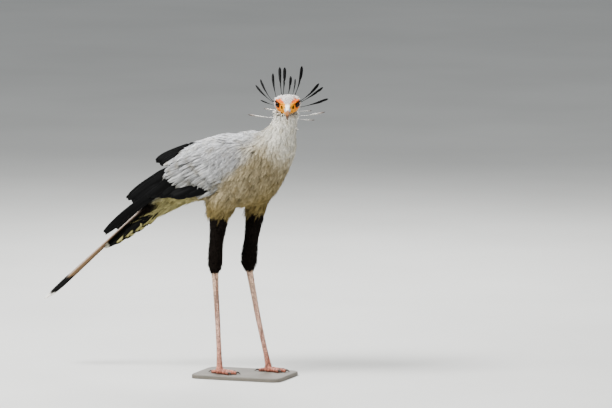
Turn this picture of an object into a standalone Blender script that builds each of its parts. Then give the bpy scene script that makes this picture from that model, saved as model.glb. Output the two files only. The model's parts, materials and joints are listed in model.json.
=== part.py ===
"""A secretary bird standing in mid-step, life size, as a still museum model.

Metres, +Z up, the bird facing +X with its head turned to its right (-Y).
The origin lies on the floor under the middle of the bounding box. The bird stands on a plain flat base.
"""

import math
import random

import bmesh
import bpy
from mathutils import Matrix, Vector

# Driving dimensions, in metres. Stations are given from the point midway between the feet.
BASE_HALF_LENGTH = 0.150
BASE_HALF_WIDTH = 0.102
BASE_THICK = 0.012
BASE_MIDDLE_Y = 0.012
STANCE = Vector((0.2173, -0.0120, BASE_THICK + 0.0003))
GAP = 0.0003
FLOOR_CLEAR = 0.0004
BODY_SIDES = 20
BODY_POWER = 2.15
TAIL_CUT = 0.19
NECK_CUT = 0.70
HEAD_CUT = 0.895

# Plumage envelope along the spine: x, z, slope in degrees, half width, height above, depth below.
SPINE = (
    (-0.342, 0.497, 42, 0.018, 0.008, 0.026),
    (-0.275, 0.556, 41, 0.042, 0.024, 0.060),
    (-0.200, 0.614, 35, 0.068, 0.055, 0.090),
    (-0.130, 0.650, 24, 0.084, 0.080, 0.122),
    (-0.050, 0.668, 18, 0.092, 0.090, 0.149),
    (0.020, 0.682, 25, 0.093, 0.087, 0.146),
    (0.075, 0.712, 42, 0.086, 0.075, 0.100),
    (0.105, 0.745, 62, 0.070, 0.054, 0.075),
    (0.127, 0.777, 76, 0.053, 0.045, 0.050),
    (0.139, 0.805, 82, 0.041, 0.041, 0.041),
    (0.144, 0.833, 84, 0.040, 0.037, 0.036),
)

# Each leg: thigh, knee-down feathering and bare shank as x, y, z, fore-and-aft and side half widths.
THIGHS = {
    "R": (
        (-0.012, -0.044, 0.640, 0.050, 0.030),
        (-0.034, -0.050, 0.590, 0.066, 0.040),
        (-0.050, -0.051, 0.545, 0.054, 0.039),
        (-0.059, -0.049, 0.509, 0.036, 0.031),
    ),
    "L": (
        (0.045, 0.044, 0.640, 0.046, 0.030),
        (0.034, 0.051, 0.590, 0.054, 0.040),
        (0.026, 0.053, 0.550, 0.044, 0.039),
        (0.022, 0.053, 0.517, 0.032, 0.031),
    ),
}
TROUSERS = {
    "R": (
        (-0.050, -0.050, 0.548, 0.028, 0.025),
        (-0.0615, -0.048, 0.504, 0.0285, 0.0265),
        (-0.0675, -0.047, 0.462, 0.0255, 0.0235),
        (-0.0735, -0.045, 0.421, 0.0222, 0.0205),
        (-0.0775, -0.044, 0.380, 0.0225, 0.0200),
        (-0.0785, -0.043, 0.351, 0.0225, 0.0200),
        (-0.0790, -0.042, 0.333, 0.0185, 0.0170),
        (-0.0795, -0.042, 0.3215, 0.0125, 0.0115),
    ),
    "L": (
        (0.028, 0.053, 0.552, 0.027, 0.025),
        (0.0215, 0.053, 0.515, 0.0275, 0.0265),
        (0.0165, 0.053, 0.480, 0.0265, 0.0245),
        (0.0075, 0.054, 0.425, 0.0225, 0.0205),
        (0.0000, 0.055, 0.375, 0.0250, 0.0205),
        (-0.0015, 0.055, 0.349, 0.0248, 0.0205),
        (-0.0012, 0.055, 0.332, 0.0195, 0.0175),
        (-0.0008, 0.055, 0.3205, 0.0125, 0.0115),
    ),
}
SHANKS = {
    "R": (
        (-0.0800, -0.042, 0.3212, 0.0112, 0.0100),
        (-0.0772, -0.041, 0.259, 0.0090, 0.0070),
        (-0.0726, -0.040, 0.178, 0.0083, 0.0063),
        (-0.0690, -0.039, 0.097, 0.0078, 0.0061),
        (-0.0677, -0.038, 0.056, 0.0082, 0.0066),
        (-0.0665, -0.038, 0.024, 0.0098, 0.0088),
    ),
    "L": (
        (-0.0006, 0.055, 0.3202, 0.0112, 0.0100),
        (0.0122, 0.056, 0.251, 0.0095, 0.0070),
        (0.0278, 0.057, 0.170, 0.0086, 0.0063),
        (0.0455, 0.058, 0.091, 0.0079, 0.0061),
        (0.0538, 0.059, 0.054, 0.0082, 0.0066),
        (0.0605, 0.060, 0.024, 0.0098, 0.0088),
    ),
}
SCUTES = 17
SCUTE_RISE = 0.0009

# Feet: name, heading from straight ahead in degrees, length to the claw, root and tip radius.
FOOT_HEADING = {"R": -2.0, "L": 2.0}
TOES = (
    ("inner", 24.0, 0.042, 0.0078, 0.0056),
    ("middle", 0.0, 0.056, 0.0082, 0.0058),
    ("outer", -27.0, 0.042, 0.0076, 0.0055),
    ("hind", 168.0, 0.027, 0.0072, 0.0052),
)
FOOT_HEIGHT = 0.024
CLAW_LENGTH = 0.015
TOE_SIDES = 10

# Head, in its own frame: x to the bill, y to its left, z up, from the point midway between the eyes.
HEAD_AT = Vector((0.1541, -0.017, 0.8609))
HEAD_YAW = -70.0
HEAD_PITCH = 15.0
HEAD_SIDES = 20
HEAD_STATIONS = (
    (-0.050, -0.0040, 0.016, 0.015, 0.018),
    (-0.045, -0.0050, 0.028, 0.021, 0.028),
    (-0.033, -0.0050, 0.0385, 0.026, 0.036),
    (-0.016, -0.0040, 0.0395, 0.027, 0.036),
    (0.000, -0.0030, 0.0350, 0.0245, 0.032),
    (0.012, -0.0040, 0.0300, 0.0215, 0.026),
    (0.022, -0.0055, 0.0230, 0.0180, 0.020),
    (0.030, -0.0070, 0.0165, 0.0150, 0.0145),
)
NAPE_TOP = Vector((0.150, 0.0, 0.872))
EYE_RADIUS = 0.0108
EYE_AT = Vector((0.0065, 0.0262, 0.0005))
EYE_LOOK = Vector((0.42, 0.90, 0.05)).normalized()
LID_RING = 0.0094
LID_THICK = 0.0017
BILL_STATIONS = (
    (0.0303, 0.0080, -0.0125, 0.0150),
    (0.0380, 0.0085, -0.0130, 0.0125),
    (0.0460, 0.0070, -0.0135, 0.0100),
    (0.0540, 0.0025, -0.0150, 0.0078),
    (0.0610, -0.0055, -0.0175, 0.0058),
    (0.0655, -0.0140, -0.0225, 0.0040),
    (0.0670, -0.0230, -0.0285, 0.0022),
)
LOWER_BILL_STATIONS = (
    (0.0303, -0.0133, -0.0205, 0.0125),
    (0.0400, -0.0138, -0.0215, 0.0100),
    (0.0500, -0.0148, -0.0215, 0.0075),
    (0.0575, -0.0165, -0.0205, 0.0045),
)

# Crest feathers: root y and z in the head's frame, lean from its up towards its left and sweep
# backwards in degrees, length in metres and width in millimetres.
CREST = (
    (-0.028, -0.017, -64, 44, 0.112, 7.0),
    (-0.037, -0.013, -44, 49, 0.106, 7.0),
    (-0.028, -0.010, -16, 53, 0.110, 8.0),
    (-0.014, -0.006, -8, 54, 0.129, 9.5),
    (-0.017, -0.006, 6, 53, 0.126, 10.0),
    (-0.006, -0.002, 17, 53, 0.091, 8.5),
    (0.007, -0.003, 20, 53, 0.083, 4.5),
    (0.011, -0.004, 24, 52, 0.135, 10.0),
    (0.024, -0.012, 65, 44, 0.115, 9.5),
    (0.026, -0.017, 72, 41, 0.119, 9.0),
    (0.027, -0.027, 89, 35, 0.123, 9.0),
    (0.025, -0.055, 96, 32, 0.110, 7.0),
    (0.023, -0.062, 108, 27, 0.073, 6.0),
    (-0.029, -0.022, -86, 36, 0.069, 4.5),
    (-0.027, -0.034, -99, 31, 0.055, 5.0),
    (-0.028, -0.060, -98, 31, 0.113, 7.5),
    (0.026, -0.037, 103, 29, 0.059, 5.0),
)

CREST_ROOT_X = -0.036
CREST_SUNK = 0.014

# Tail: the long middle pair, then pairs ever shorter and lower.
TAIL_ROOT = Vector((-0.236, 0.0, 0.606))
TAIL_DROOP = 41.2
TAIL_LENGTHS = (0.590, 0.322, 0.298, 0.262, 0.220, 0.180)
TAIL_WIDTHS = (0.026, 0.030, 0.031, 0.032, 0.032, 0.030)
TAIL_PITCH = 0.0022
TAIL_ROOF = 60.0
VANE_THICK = 0.0010

# Wing cover along the spine: place from 0 to 1, upper and lower edge in degrees around the body, swell.
WING_SHIELD = (
    (0.155, 52, 16, 0.004),
    (0.200, 66, -22, 0.009),
    (0.260, 68, -42, 0.012),
    (0.340, 64, -50, 0.014),
    (0.430, 56, -42, 0.014),
    (0.510, 44, -28, 0.012),
    (0.580, 24, -12, 0.008),
    (0.620, 10, -2, 0.004),
)
SHIELD_ROOT = 0.010
WING_PITCH = 0.0016
FREE_FACING = Vector((0.0, 0.94, 0.34))

# Tiers of wing feathers on the bird's left: count, first root and tip, last root and tip as x, y, z,
# width, and how far root and tip stand off the body where it is wider than that y.
WING_TIERS = (
    ("scapular", 3, (-0.112, 0.030, 0.722), (-0.283, 0.014, 0.659),
     (-0.105, 0.050, 0.705), (-0.262, 0.032, 0.650), 0.026, -0.003, 0.006),
    ("tertial", 4, (-0.150, 0.040, 0.692), (-0.379, 0.030, 0.543),
     (-0.140, 0.060, 0.668), (-0.354, 0.045, 0.531), 0.030, -0.003, 0.006),
    ("primary", 4, (-0.150, 0.070, 0.632), (-0.450, 0.050, 0.447),
     (-0.140, 0.075, 0.615), (-0.450, 0.058, 0.429), 0.026, -0.003, 0.002),
    ("secondary", 5, (-0.120, 0.070, 0.680), (-0.296, 0.062, 0.552),
     (-0.040, 0.085, 0.605), (-0.190, 0.090, 0.560), 0.032, -0.002, 0.007),
    ("greater_covert", 6, (-0.100, 0.050, 0.715), (-0.249, 0.045, 0.648),
     (0.000, 0.080, 0.615), (-0.121, 0.088, 0.562), 0.032, 0.000, 0.013),
    ("median_covert", 5, (-0.030, 0.050, 0.715), (-0.171, 0.060, 0.664),
     (0.048, 0.070, 0.660), (-0.064, 0.088, 0.597), 0.032, 0.000, 0.015),
)


def smooth_rows(rows, count):
    """Rows of numbers read at `count` even steps from a smooth curve through the given rows."""
    out = []
    last = len(rows) - 1
    for i in range(count):
        t = i * last / (count - 1)
        k = min(int(t), last - 1)
        f = t - k
        row = []
        for c in range(len(rows[0])):
            p1, p2 = rows[k][c], rows[k + 1][c]
            p0 = rows[k - 1][c] if k > 0 else 2 * p1 - p2
            p3 = rows[k + 2][c] if k + 2 <= last else 2 * p2 - p1
            row.append(
                p1
                + 0.5 * f * (p2 - p0 + f * (2 * p0 - 5 * p1 + 4 * p2 - p3 + f * (3 * (p1 - p2) + p3 - p0)))
            )
        out.append(tuple(row))
    return out


def superellipse(angle, power):
    """Unit point at this angle on a superellipse that is round at power 2 and boxier above it."""
    c, s = math.cos(angle), math.sin(angle)
    side = math.copysign(abs(c) ** (2 / power), c)
    rise = math.copysign(abs(s) ** (2 / power), s)
    return side, rise


def ring(centre, side, up, half, above, below, sides, power=2.0):
    """One closed ring of points about centre, wider or deeper on each side as given."""
    points = []
    for i in range(sides):
        c, s = superellipse(2 * math.pi * i / sides, power)
        points.append(centre + side * (c * half) + up * (s * (above if s > 0 else below)))
    return points


def mesh_object(name, points, faces):
    mesh = bpy.data.meshes.new(name)
    mesh.from_pydata([tuple(p) for p in points], [], faces)
    bm = bmesh.new()
    bm.from_mesh(mesh)
    bmesh.ops.recalc_face_normals(bm, faces=bm.faces)
    bm.to_mesh(mesh)
    bm.free()
    obj = bpy.data.objects.new(name, mesh)
    bpy.context.scene.collection.objects.link(obj)
    return obj


def loft(name, rings, start_tip=None, end_tip=None):
    """A closed skin over rings of equal count, each end shut by a fan to its tip or its middle."""
    count = len(rings[0])
    points = [p for r in rings for p in r]
    faces = []
    for k in range(len(rings) - 1):
        for i in range(count):
            a, b = k * count + i, k * count + (i + 1) % count
            faces.append((a, b, b + count, a + count))
    for base, tip in ((0, start_tip), (len(points) - count, end_tip)):
        loop = rings[0] if base == 0 else rings[-1]
        points.append(tip if tip is not None else sum(loop, Vector()) / count)
        apex = len(points) - 1
        for i in range(count):
            faces.append((base + i, base + (i + 1) % count, apex))
    return mesh_object(name, points, faces)


def boolean(obj, operation, other=None, group=None, solver="EXACT"):
    """Applies one Boolean to obj, with another object or with a whole collection."""
    modifier = obj.modifiers.new("Join", "BOOLEAN")
    modifier.operation = operation
    modifier.solver = solver
    if group is not None:
        modifier.operand_type = "COLLECTION"
        modifier.collection = group
    else:
        modifier.object = other
    graph = bpy.context.evaluated_depsgraph_get()
    made = bpy.data.meshes.new_from_object(obj.evaluated_get(graph))
    obj.modifiers.clear()
    old = obj.data
    obj.data = made
    bpy.data.meshes.remove(old)
    keep_largest(obj)


def keep_largest(obj):
    """Leaves only the largest closed surface of the mesh, so no loose scrap or sealed hollow stays."""
    bm = bmesh.new()
    bm.from_mesh(obj.data)
    bmesh.ops.triangulate(bm, faces=bm.faces)
    seen = set()
    shells = []
    for face in bm.faces:
        if face.index in seen:
            continue
        seen.add(face.index)
        shell, queue = [], [face]
        while queue:
            f = queue.pop()
            shell.append(f)
            for edge in f.edges:
                for g in edge.link_faces:
                    if g.index not in seen:
                        seen.add(g.index)
                        queue.append(g)
        shells.append(shell)

    def volume(shell):
        return sum(
            f.verts[0].co.dot(f.verts[1].co.cross(f.verts[2].co)) / 6 for f in shell
        )

    largest = max(shells, key=volume)
    drop = [f for shell in shells if shell is not largest for f in shell]
    if drop:
        bmesh.ops.delete(bm, geom=drop, context="FACES")
    bm.to_mesh(obj.data)
    bm.free()


def part_touching(obj, by=0.00003):
    """Draws apart, into their own material, points of two surfaces that meet in one place."""
    bm = bmesh.new()
    bm.from_mesh(obj.data)
    bm.normal_update()
    places = {}
    for v in bm.verts:
        key = tuple(round(c * 1e6) for c in v.co)
        places.setdefault(key, []).append(v)
    for met in places.values():
        if len(met) > 1:
            for v in met:
                v.co -= v.normal * by
    bm.to_mesh(obj.data)
    bm.free()


def join_all(obj, pieces, solver="EXACT"):
    """Fuses the pieces into obj and removes them."""
    if not pieces:
        return
    group = bpy.data.collections.new("pieces_of_" + obj.name)
    for piece in pieces:
        group.objects.link(piece)
    boolean(obj, "UNION", group=group, solver=solver)
    for piece in pieces:
        bpy.data.objects.remove(piece)
    bpy.data.collections.remove(group)


def cut_away(obj, cutter, solver="EXACT"):
    boolean(obj, "DIFFERENCE", other=cutter, solver=solver)


def swollen(obj, by):
    """A copy of obj with its surface moved outwards, for cutting a neighbour with a gap."""
    copy = bpy.data.objects.new(obj.name + "_swollen", obj.data.copy())
    bpy.context.scene.collection.objects.link(copy)
    bm = bmesh.new()
    bm.from_mesh(copy.data)
    bm.normal_update()
    moves = [v.normal.copy() for v in bm.verts]
    for v, n in zip(bm.verts, moves):
        v.co += n * by
    bm.to_mesh(copy.data)
    bm.free()
    return copy


def vane(name, path, widths, normals, thick, shaft=True):
    """A thin feather blade along path, its faces split alike on both sides; shaft raises its middle."""
    points, faces = [], []
    count = len(path)
    sides = 6 if shaft else 4
    for k, (at, width, normal) in enumerate(zip(path, widths, normals)):
        ahead = path[min(k + 1, count - 1)] - path[max(k - 1, 0)]
        across = normal.cross(ahead).normalized()
        up = ahead.cross(across).normalized() * (thick / 2)
        left = across * (width * 0.5)
        right = across * (-width * 0.5)
        if shaft:
            points += [at + left + up * 0.6, at + up * 1.4, at + right + up * 0.6]
            points += [at + right - up * 0.6, at - up, at + left - up * 0.6]
        else:
            points += [at + left + up, at + right + up, at + right - up, at + left - up]
    split_back = (0, 3)
    for k in range(count - 1):
        a, b = sides * k, sides * (k + 1)
        for i in range(sides):
            j = (i + 1) % sides
            if i in split_back:
                faces += [(a + i, b + i, b + j), (a + i, b + j, a + j)]
            else:
                faces += [(a + i, b + i, a + j), (b + i, b + j, a + j)]
    for base in (0, sides * (count - 1)):
        if shaft:
            faces += [(base, base + 1, base + 4), (base, base + 4, base + 5)]
            faces += [(base + 1, base + 2, base + 3), (base + 1, base + 3, base + 4)]
        else:
            faces += [(base, base + 1, base + 2), (base, base + 2, base + 3)]
    return mesh_object(name, points, faces)


def blade_width(t, root, full, tip):
    """Share of a feather's full width at t along it: narrow root, even blade, rounded tip."""
    grow = min(1.0, root + (1 - root) * min(t / full, 1.0) ** 0.7)
    fade = 1.0 if t < tip else math.sqrt(max(0.03, 1 - ((t - tip) / (1 - tip)) ** 2))
    return grow * fade


# Whole body: one tube of plumage from the rump to the back of the head, parted by thin cuts.
SPINE_STEPS = 200
SPINE_ROWS = smooth_rows(SPINE, SPINE_STEPS + 1)


def spine_at(t):
    """Centre, heading, up, half width, height and depth of the body tube at t from 0 to 1."""
    pos = t * SPINE_STEPS
    k = min(int(pos), SPINE_STEPS - 1)
    f = pos - k
    x, z, slope, half, above, below = (
        a + (b - a) * f for a, b in zip(SPINE_ROWS[k], SPINE_ROWS[k + 1])
    )
    a = math.radians(slope)
    along = Vector((math.cos(a), 0, math.sin(a)))
    up = Vector((-math.sin(a), 0, math.cos(a)))
    return Vector((x, 0, z)), along, up, half, above, below


def spine_ring(t, slack=0.0):
    """Ring of the body tube at t from 0, the tail end, to 1, inside the head; slack shifts it along."""
    centre, along, up, half, above, below = spine_at(t)
    return ring(centre + along * slack, Vector((0, 1, 0)), up, half, above, below, BODY_SIDES, BODY_POWER)


def body_side(x, z):
    """Half width of the body tube at this place in side view, and its outward direction there."""
    best = None
    for k in range(20, 141):
        row = SPINE_ROWS[k]
        a = math.radians(row[2])
        ahead = (x - row[0]) * math.cos(a) + (z - row[1]) * math.sin(a)
        if best is None or abs(ahead) < best[0]:
            best = (abs(ahead), row, a)
    _, row, a = best
    rise = -(x - row[0]) * math.sin(a) + (z - row[1]) * math.cos(a)
    reach = row[4] if rise > 0 else row[5]
    share = rise / reach
    inside = max(0.0, 1 - abs(share) ** BODY_POWER)
    width = row[3] * inside ** (1 / BODY_POWER)
    held = max(-0.75, min(0.75, share))
    flat = (1 - abs(held) ** 2) ** 0.5 / row[3]
    tall = held / reach
    out = Vector((-math.sin(a) * tall, flat, math.cos(a) * tall)).normalized()
    return width, out


def body_length(name, start, end, steps, slack_start=0.0, slack_end=0.0, end_tip=None):
    rings = []
    for k in range(steps + 1):
        t = start + (end - start) * k / steps
        slack = slack_start if k == 0 else slack_end if k == steps else 0.0
        rings.append(spine_ring(t, slack))
    return loft(name, rings, end_tip=end_tip)


def leg_rings(rows, count, sides, grow=0.0, power=2.0):
    """Level rings down a leg through its stations."""
    out = []
    for x, y, z, fore, side in smooth_rows(rows, count):
        centre = Vector((x, y, z))
        out.append(
            [
                centre + Vector(((fore + grow) * c, (side + grow) * s, 0))
                for c, s in (superellipse(2 * math.pi * i / sides, power) for i in range(sides))
            ]
        )
    return out


def head_matrix():
    yaw = Matrix.Rotation(math.radians(HEAD_YAW), 4, "Z")
    pitch = Matrix.Rotation(math.radians(HEAD_PITCH), 4, "Y")
    return Matrix.Translation(HEAD_AT) @ yaw @ pitch


HEAD = head_matrix()


def make_torso():
    torso = body_length("torso", TAIL_CUT, NECK_CUT, 12, GAP / 2, -GAP / 2)
    thighs = [
        loft("thigh_bulge_" + side, leg_rings(THIGHS[side], 5, 14))
        for side in ("R", "L")
    ]
    join_all(torso, thighs)
    return torso


def make_neck():
    return body_length("neck", NECK_CUT, HEAD_CUT, 5, GAP / 2, -GAP / 2)


def eye_ball(name, side, radius, segments, rings_count):
    """An eye as a ball whose pole faces the way the eye looks, on the head's left (1) or right (-1)."""
    bm = bmesh.new()
    bmesh.ops.create_uvsphere(bm, u_segments=segments, v_segments=rings_count, radius=radius)
    mesh = bpy.data.meshes.new(name)
    bm.to_mesh(mesh)
    bm.free()
    look = Vector((EYE_LOOK.x, EYE_LOOK.y * side, EYE_LOOK.z))
    at = Vector((EYE_AT.x, EYE_AT.y * side, EYE_AT.z))
    turn = look.to_track_quat("Z", "Y").to_matrix().to_4x4()
    mesh.transform(HEAD @ Matrix.Translation(at) @ turn)
    obj = bpy.data.objects.new(name, mesh)
    bpy.context.scene.collection.objects.link(obj)
    return obj


def lid_ring(side):
    """The rim of the eyelids: a slim ring standing out of the face around the eye."""
    look = Vector((EYE_LOOK.x, EYE_LOOK.y * side, EYE_LOOK.z))
    at = Vector((EYE_AT.x, EYE_AT.y * side, EYE_AT.z)) + look * 0.0042
    turn = look.to_track_quat("Z", "Y").to_matrix()
    rings = []
    count, sides = 14, 6
    for k in range(count):
        a = 2 * math.pi * k / count
        out = Vector((math.cos(a), math.sin(a) * 0.86, 0))
        centre = out * LID_RING
        rings.append(
            [
                HEAD @ (at + turn @ (centre + out * (LID_THICK * math.cos(b)) + Vector((0, 0, LID_THICK * 2.2 * math.sin(b)))))
                for b in (2 * math.pi * i / sides for i in range(sides))
            ]
        )
    points = [p for r in rings for p in r]
    faces = []
    for k in range(count):
        for i in range(sides):
            a, b = k * sides + i, k * sides + (i + 1) % sides
            c, d = ((k + 1) % count) * sides + (i + 1) % sides, ((k + 1) % count) * sides + i
            faces.append((a, b, c, d))
    return mesh_object("lids", points, faces)


def brow_ridge(side):
    """The bony brow over each eye, from the front of the crown back over the eye."""
    rows = (
        (0.0240, 0.0165, 0.0085, 0.0030),
        (0.0160, 0.0255, 0.0125, 0.0040),
        (0.0040, 0.0320, 0.0140, 0.0042),
        (-0.0100, 0.0345, 0.0120, 0.0030),
    )
    rings = []
    for x, y, z, r in rows:
        centre = Vector((x, y * side, z))
        rings.append(
            [
                HEAD @ (centre + Vector((0, r * 1.2 * math.cos(a), r * 0.8 * math.sin(a))))
                for a in (2 * math.pi * i / 8 for i in range(8))
            ]
        )
    return loft("brow", rings)


def gape_cut(side):
    """A thin curved wedge that draws the line of the mouth back from the bill below the eye."""
    outline = ((0.034, 0.010, -0.0131), (0.024, 0.017, -0.0150), (0.012, 0.025, -0.0175), (0.004, 0.0295, -0.0195))
    points, faces = [], []
    for x, y, z in outline:
        for out in (-0.0015, 0.0085):
            for rise in (-0.0005, 0.0005):
                points.append(HEAD @ Vector((x, side * (y + out), z + rise)))
    for k in range(len(outline) - 1):
        a, b = 4 * k, 4 * k + 4
        faces += [(a, a + 1, b + 1, b), (a + 2, b + 2, b + 3, a + 3)]
        faces += [(a, b, b + 2, a + 2), (a + 1, a + 3, b + 3, b + 1)]
    end = 4 * (len(outline) - 1)
    faces += [(0, 2, 3, 1), (end, end + 1, end + 3, end + 2)]
    return mesh_object("gape", points, faces)


def crest_feather(index, root_y, root_z, lean, swept, length, width_mm):
    """One crest feather: a slim shaft from the nape that widens to a paddle, bowed a little."""
    lean_a, swept_a = math.radians(lean), math.radians(swept)
    out = Vector((0, math.sin(lean_a), math.cos(lean_a)))
    heading = out * math.cos(swept_a) - Vector((1, 0, 0)) * math.sin(swept_a)
    root = Vector((CREST_ROOT_X, root_y, root_z)) - heading * CREST_SUNK
    bow = (Vector((1, 0, 0)) + out * 0.5) * (0.05 * length)
    path, widths, normals = [], [], []
    steps = 5
    for k in range(steps + 1):
        t = k / steps
        at = root + heading * ((length + CREST_SUNK) * t) + bow * (t - t * t)
        paddle = max(0.0, min(1.0, (t - 0.30) / 0.45))
        share = 0.26 + 0.74 * paddle * paddle * (3 - 2 * paddle)
        if t > 0.86:
            share *= 1 - 0.55 * ((t - 0.86) / 0.14) ** 2
        path.append(HEAD @ at)
        widths.append(width_mm / 1000 * share)
        normals.append(HEAD.to_3x3() @ (Vector((1, 0, 0)) + out * 0.6))
    return vane("crest_%02d" % index, path, widths, normals, 0.0013)


def make_head():
    rings = []
    for x, z, half, above, below in smooth_rows(HEAD_STATIONS, 11):
        local = ring(Vector((x, 0, z)), Vector((0, 1, 0)), Vector((0, 0, 1)), half, above, below, HEAD_SIDES, 2.3)
        rings.append([HEAD @ p for p in local])
    head = loft("head", rings)
    nape = body_length("nape", HEAD_CUT, 1.0, 2, GAP / 2, 0.0, NAPE_TOP)
    extras = [nape]
    for side in (1, -1):
        extras += [brow_ridge(side), lid_ring(side)]
    extras += [crest_feather(i, *row) for i, row in enumerate(CREST)]
    join_all(head, extras)
    for side in (1, -1):
        socket = eye_ball("socket", side, EYE_RADIUS + GAP, 16, 10)
        cut_away(head, socket)
        bpy.data.objects.remove(socket)
        gape = gape_cut(side)
        cut_away(head, gape)
        bpy.data.objects.remove(gape)
    neck_room = swollen(bpy.data.objects["neck"], GAP)
    cut_away(head, neck_room)
    bpy.data.objects.remove(neck_room)
    return head


def bill_half(name, stations, steps):
    rings = []
    for x, top, bottom, half in smooth_rows(stations, steps):
        middle = (top + bottom) / 2
        local = ring(
            Vector((x, 0, middle)), Vector((0, 1, 0)), Vector((0, 0, 1)), half, top - middle, middle - bottom, 12, 2.2
        )
        rings.append([HEAD @ p for p in local])
    return loft(name, rings)


def make_bill():
    upper = bill_half("bill_upper", BILL_STATIONS, 9)
    for side in (1, -1):
        bm = bmesh.new()
        bmesh.ops.create_uvsphere(bm, u_segments=8, v_segments=6, radius=1.0)
        mesh = bpy.data.meshes.new("nostril")
        bm.to_mesh(mesh)
        bm.free()
        tilt = Matrix.Rotation(math.radians(20), 4, "Y")
        size = Matrix.Diagonal((0.0030, 0.0020, 0.0011, 1))
        mesh.transform(HEAD @ Matrix.Translation((0.0385, side * 0.0125, 0.0010)) @ tilt @ size)
        nostril = bpy.data.objects.new("nostril", mesh)
        bpy.context.scene.collection.objects.link(nostril)
        cut_away(upper, nostril)
        bpy.data.objects.remove(nostril)
    lower = bill_half("bill_lower", LOWER_BILL_STATIONS, 5)
    return upper, lower


def tail_frame():
    droop = math.radians(TAIL_DROOP)
    along = Vector((-math.cos(droop), 0, -math.sin(droop)))
    up = Vector((-math.sin(droop), 0, math.cos(droop)))
    return along, up


def tail_feather(pair, side):
    """One tail feather: the middle pair lies on top, the others hang beside and below it like a roof."""
    along, up = tail_frame()
    length, width = TAIL_LENGTHS[pair], TAIL_WIDTHS[pair]
    roof = math.radians(34 if pair == 0 else TAIL_ROOF)
    across = Vector((0, side * math.cos(roof), 0)) - up * math.sin(roof)
    normal = up * math.cos(roof) + Vector((0, side * math.sin(roof), 0))
    spread = math.radians(0.4 * pair)
    shift = 0.0135 if pair == 0 else 0.006 + 0.0040 * pair
    drop = 0.0 if pair == 0 else 0.0012 + TAIL_PITCH * pair
    root = TAIL_ROOT + across * shift - up * drop
    heading = along * math.cos(spread) + across * math.sin(spread)
    path, widths, normals = [], [], []
    steps = 6 if pair == 0 else 4
    for k in range(steps + 1):
        t = k / steps
        path.append(root + heading * (length * t) - up * (0.006 * t * t))
        share = blade_width(t, 0.55, 0.35, 0.80)
        if pair == 0:
            share *= 1 - 0.38 * math.sin(math.pi * min(1.0, t * 1.15)) ** 2
        widths.append(width * share)
        normals.append(normal)
    return vane("rectrix_%d_%s" % (pair, side), path, widths, normals, VANE_THICK * 1.2)


def make_tail():
    tail = body_length("tail", 0.0, TAIL_CUT, 4, 0.0, -GAP / 2)
    feathers = [tail_feather(pair, side) for pair in range(len(TAIL_LENGTHS)) for side in (1, -1)]
    join_all(tail, feathers)
    return tail


def wing_shield(side):
    """The folded wing's cover: a thin swell on the flank, its inner side sunk in and trimmed later."""
    rings = []
    across = 7
    for t, top, bottom, swell in smooth_rows(WING_SHIELD, 11):
        centre, _, up, half, above, below = spine_at(t)
        outer, inner = [], []
        for k in range(across):
            share = k / (across - 1)
            angle = math.radians(top + (bottom - top) * share)
            c, s = superellipse(angle, BODY_POWER)
            reach = above if s > 0 else below
            radial = (Vector((0, side * c / half, 0)) + up * (s / reach)).normalized()
            at = centre + Vector((0, side * half * c, 0)) + up * (reach * s)
            lift = swell * (0.35 + 0.65 * math.sin(math.pi * share))
            outer.append(at + radial * lift)
            inner.append(at - radial * SHIELD_ROOT)
        rings.append(outer + inner[::-1])
    return loft("shield_" + str(side), rings)


def flight_feather(name, root, tip, width, side, stand_root, stand_tip, lift, steps=4):
    """A wing feather from root to tip, laid over the body where the body is wider than its own line."""
    path, widths, normals = [], [], []
    for k in range(steps + 1):
        t = k / steps
        at = root.lerp(tip, t) + Vector((0, 0, 0.05 * (tip - root).length * (t - t * t)))
        body, out = body_side(at.x, at.z)
        laid = body + stand_root + (stand_tip - stand_root) * t
        free = max(0.0, min(1.0, (at.y - body) / 0.025))
        out = out.lerp(FREE_FACING, free).normalized()
        at.y = max(at.y, laid)
        at += out * (lift * (0.3 + 0.7 * t))
        path.append(Vector((at.x, side * at.y, at.z)))
        normals.append(Vector((out.x, side * out.y, out.z)))
        widths.append(width * blade_width(t, 0.6, 0.3, 0.72))
    return vane(name, path, widths, normals, VANE_THICK, shaft="covert" not in name)


def wing_tier(side, tier):
    name, count, root_a, tip_a, root_b, tip_b, width, stand_root, stand_tip = tier
    made = []
    for k in range(count):
        t = k / (count - 1)
        root = Vector(root_a).lerp(Vector(root_b), t)
        tip = Vector(tip_a).lerp(Vector(tip_b), t)
        lift = WING_PITCH * (count - 1 - k)
        made.append(
            flight_feather("%s_%d" % (name, k), root, tip, width, side, stand_root, stand_tip, lift)
        )
    return made


def make_wing(side, name, body, tail):
    wing = wing_shield(side)
    wing.name = name
    feathers = [f for tier in WING_TIERS for f in wing_tier(side, tier)]
    join_all(wing, feathers, "MANIFOLD")
    for neighbour in (body, tail):
        room = swollen(neighbour, GAP * 1.6)
        cut_away(wing, room, "MANIFOLD")
        bpy.data.objects.remove(room)
    return wing


def make_trousers(side, torso):
    trousers = loft("trousers_" + side, leg_rings(TROUSERS[side], 12, 14))
    room = swollen(torso, GAP * 1.6)
    cut_away(trousers, room)
    bpy.data.objects.remove(room)
    return trousers


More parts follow.
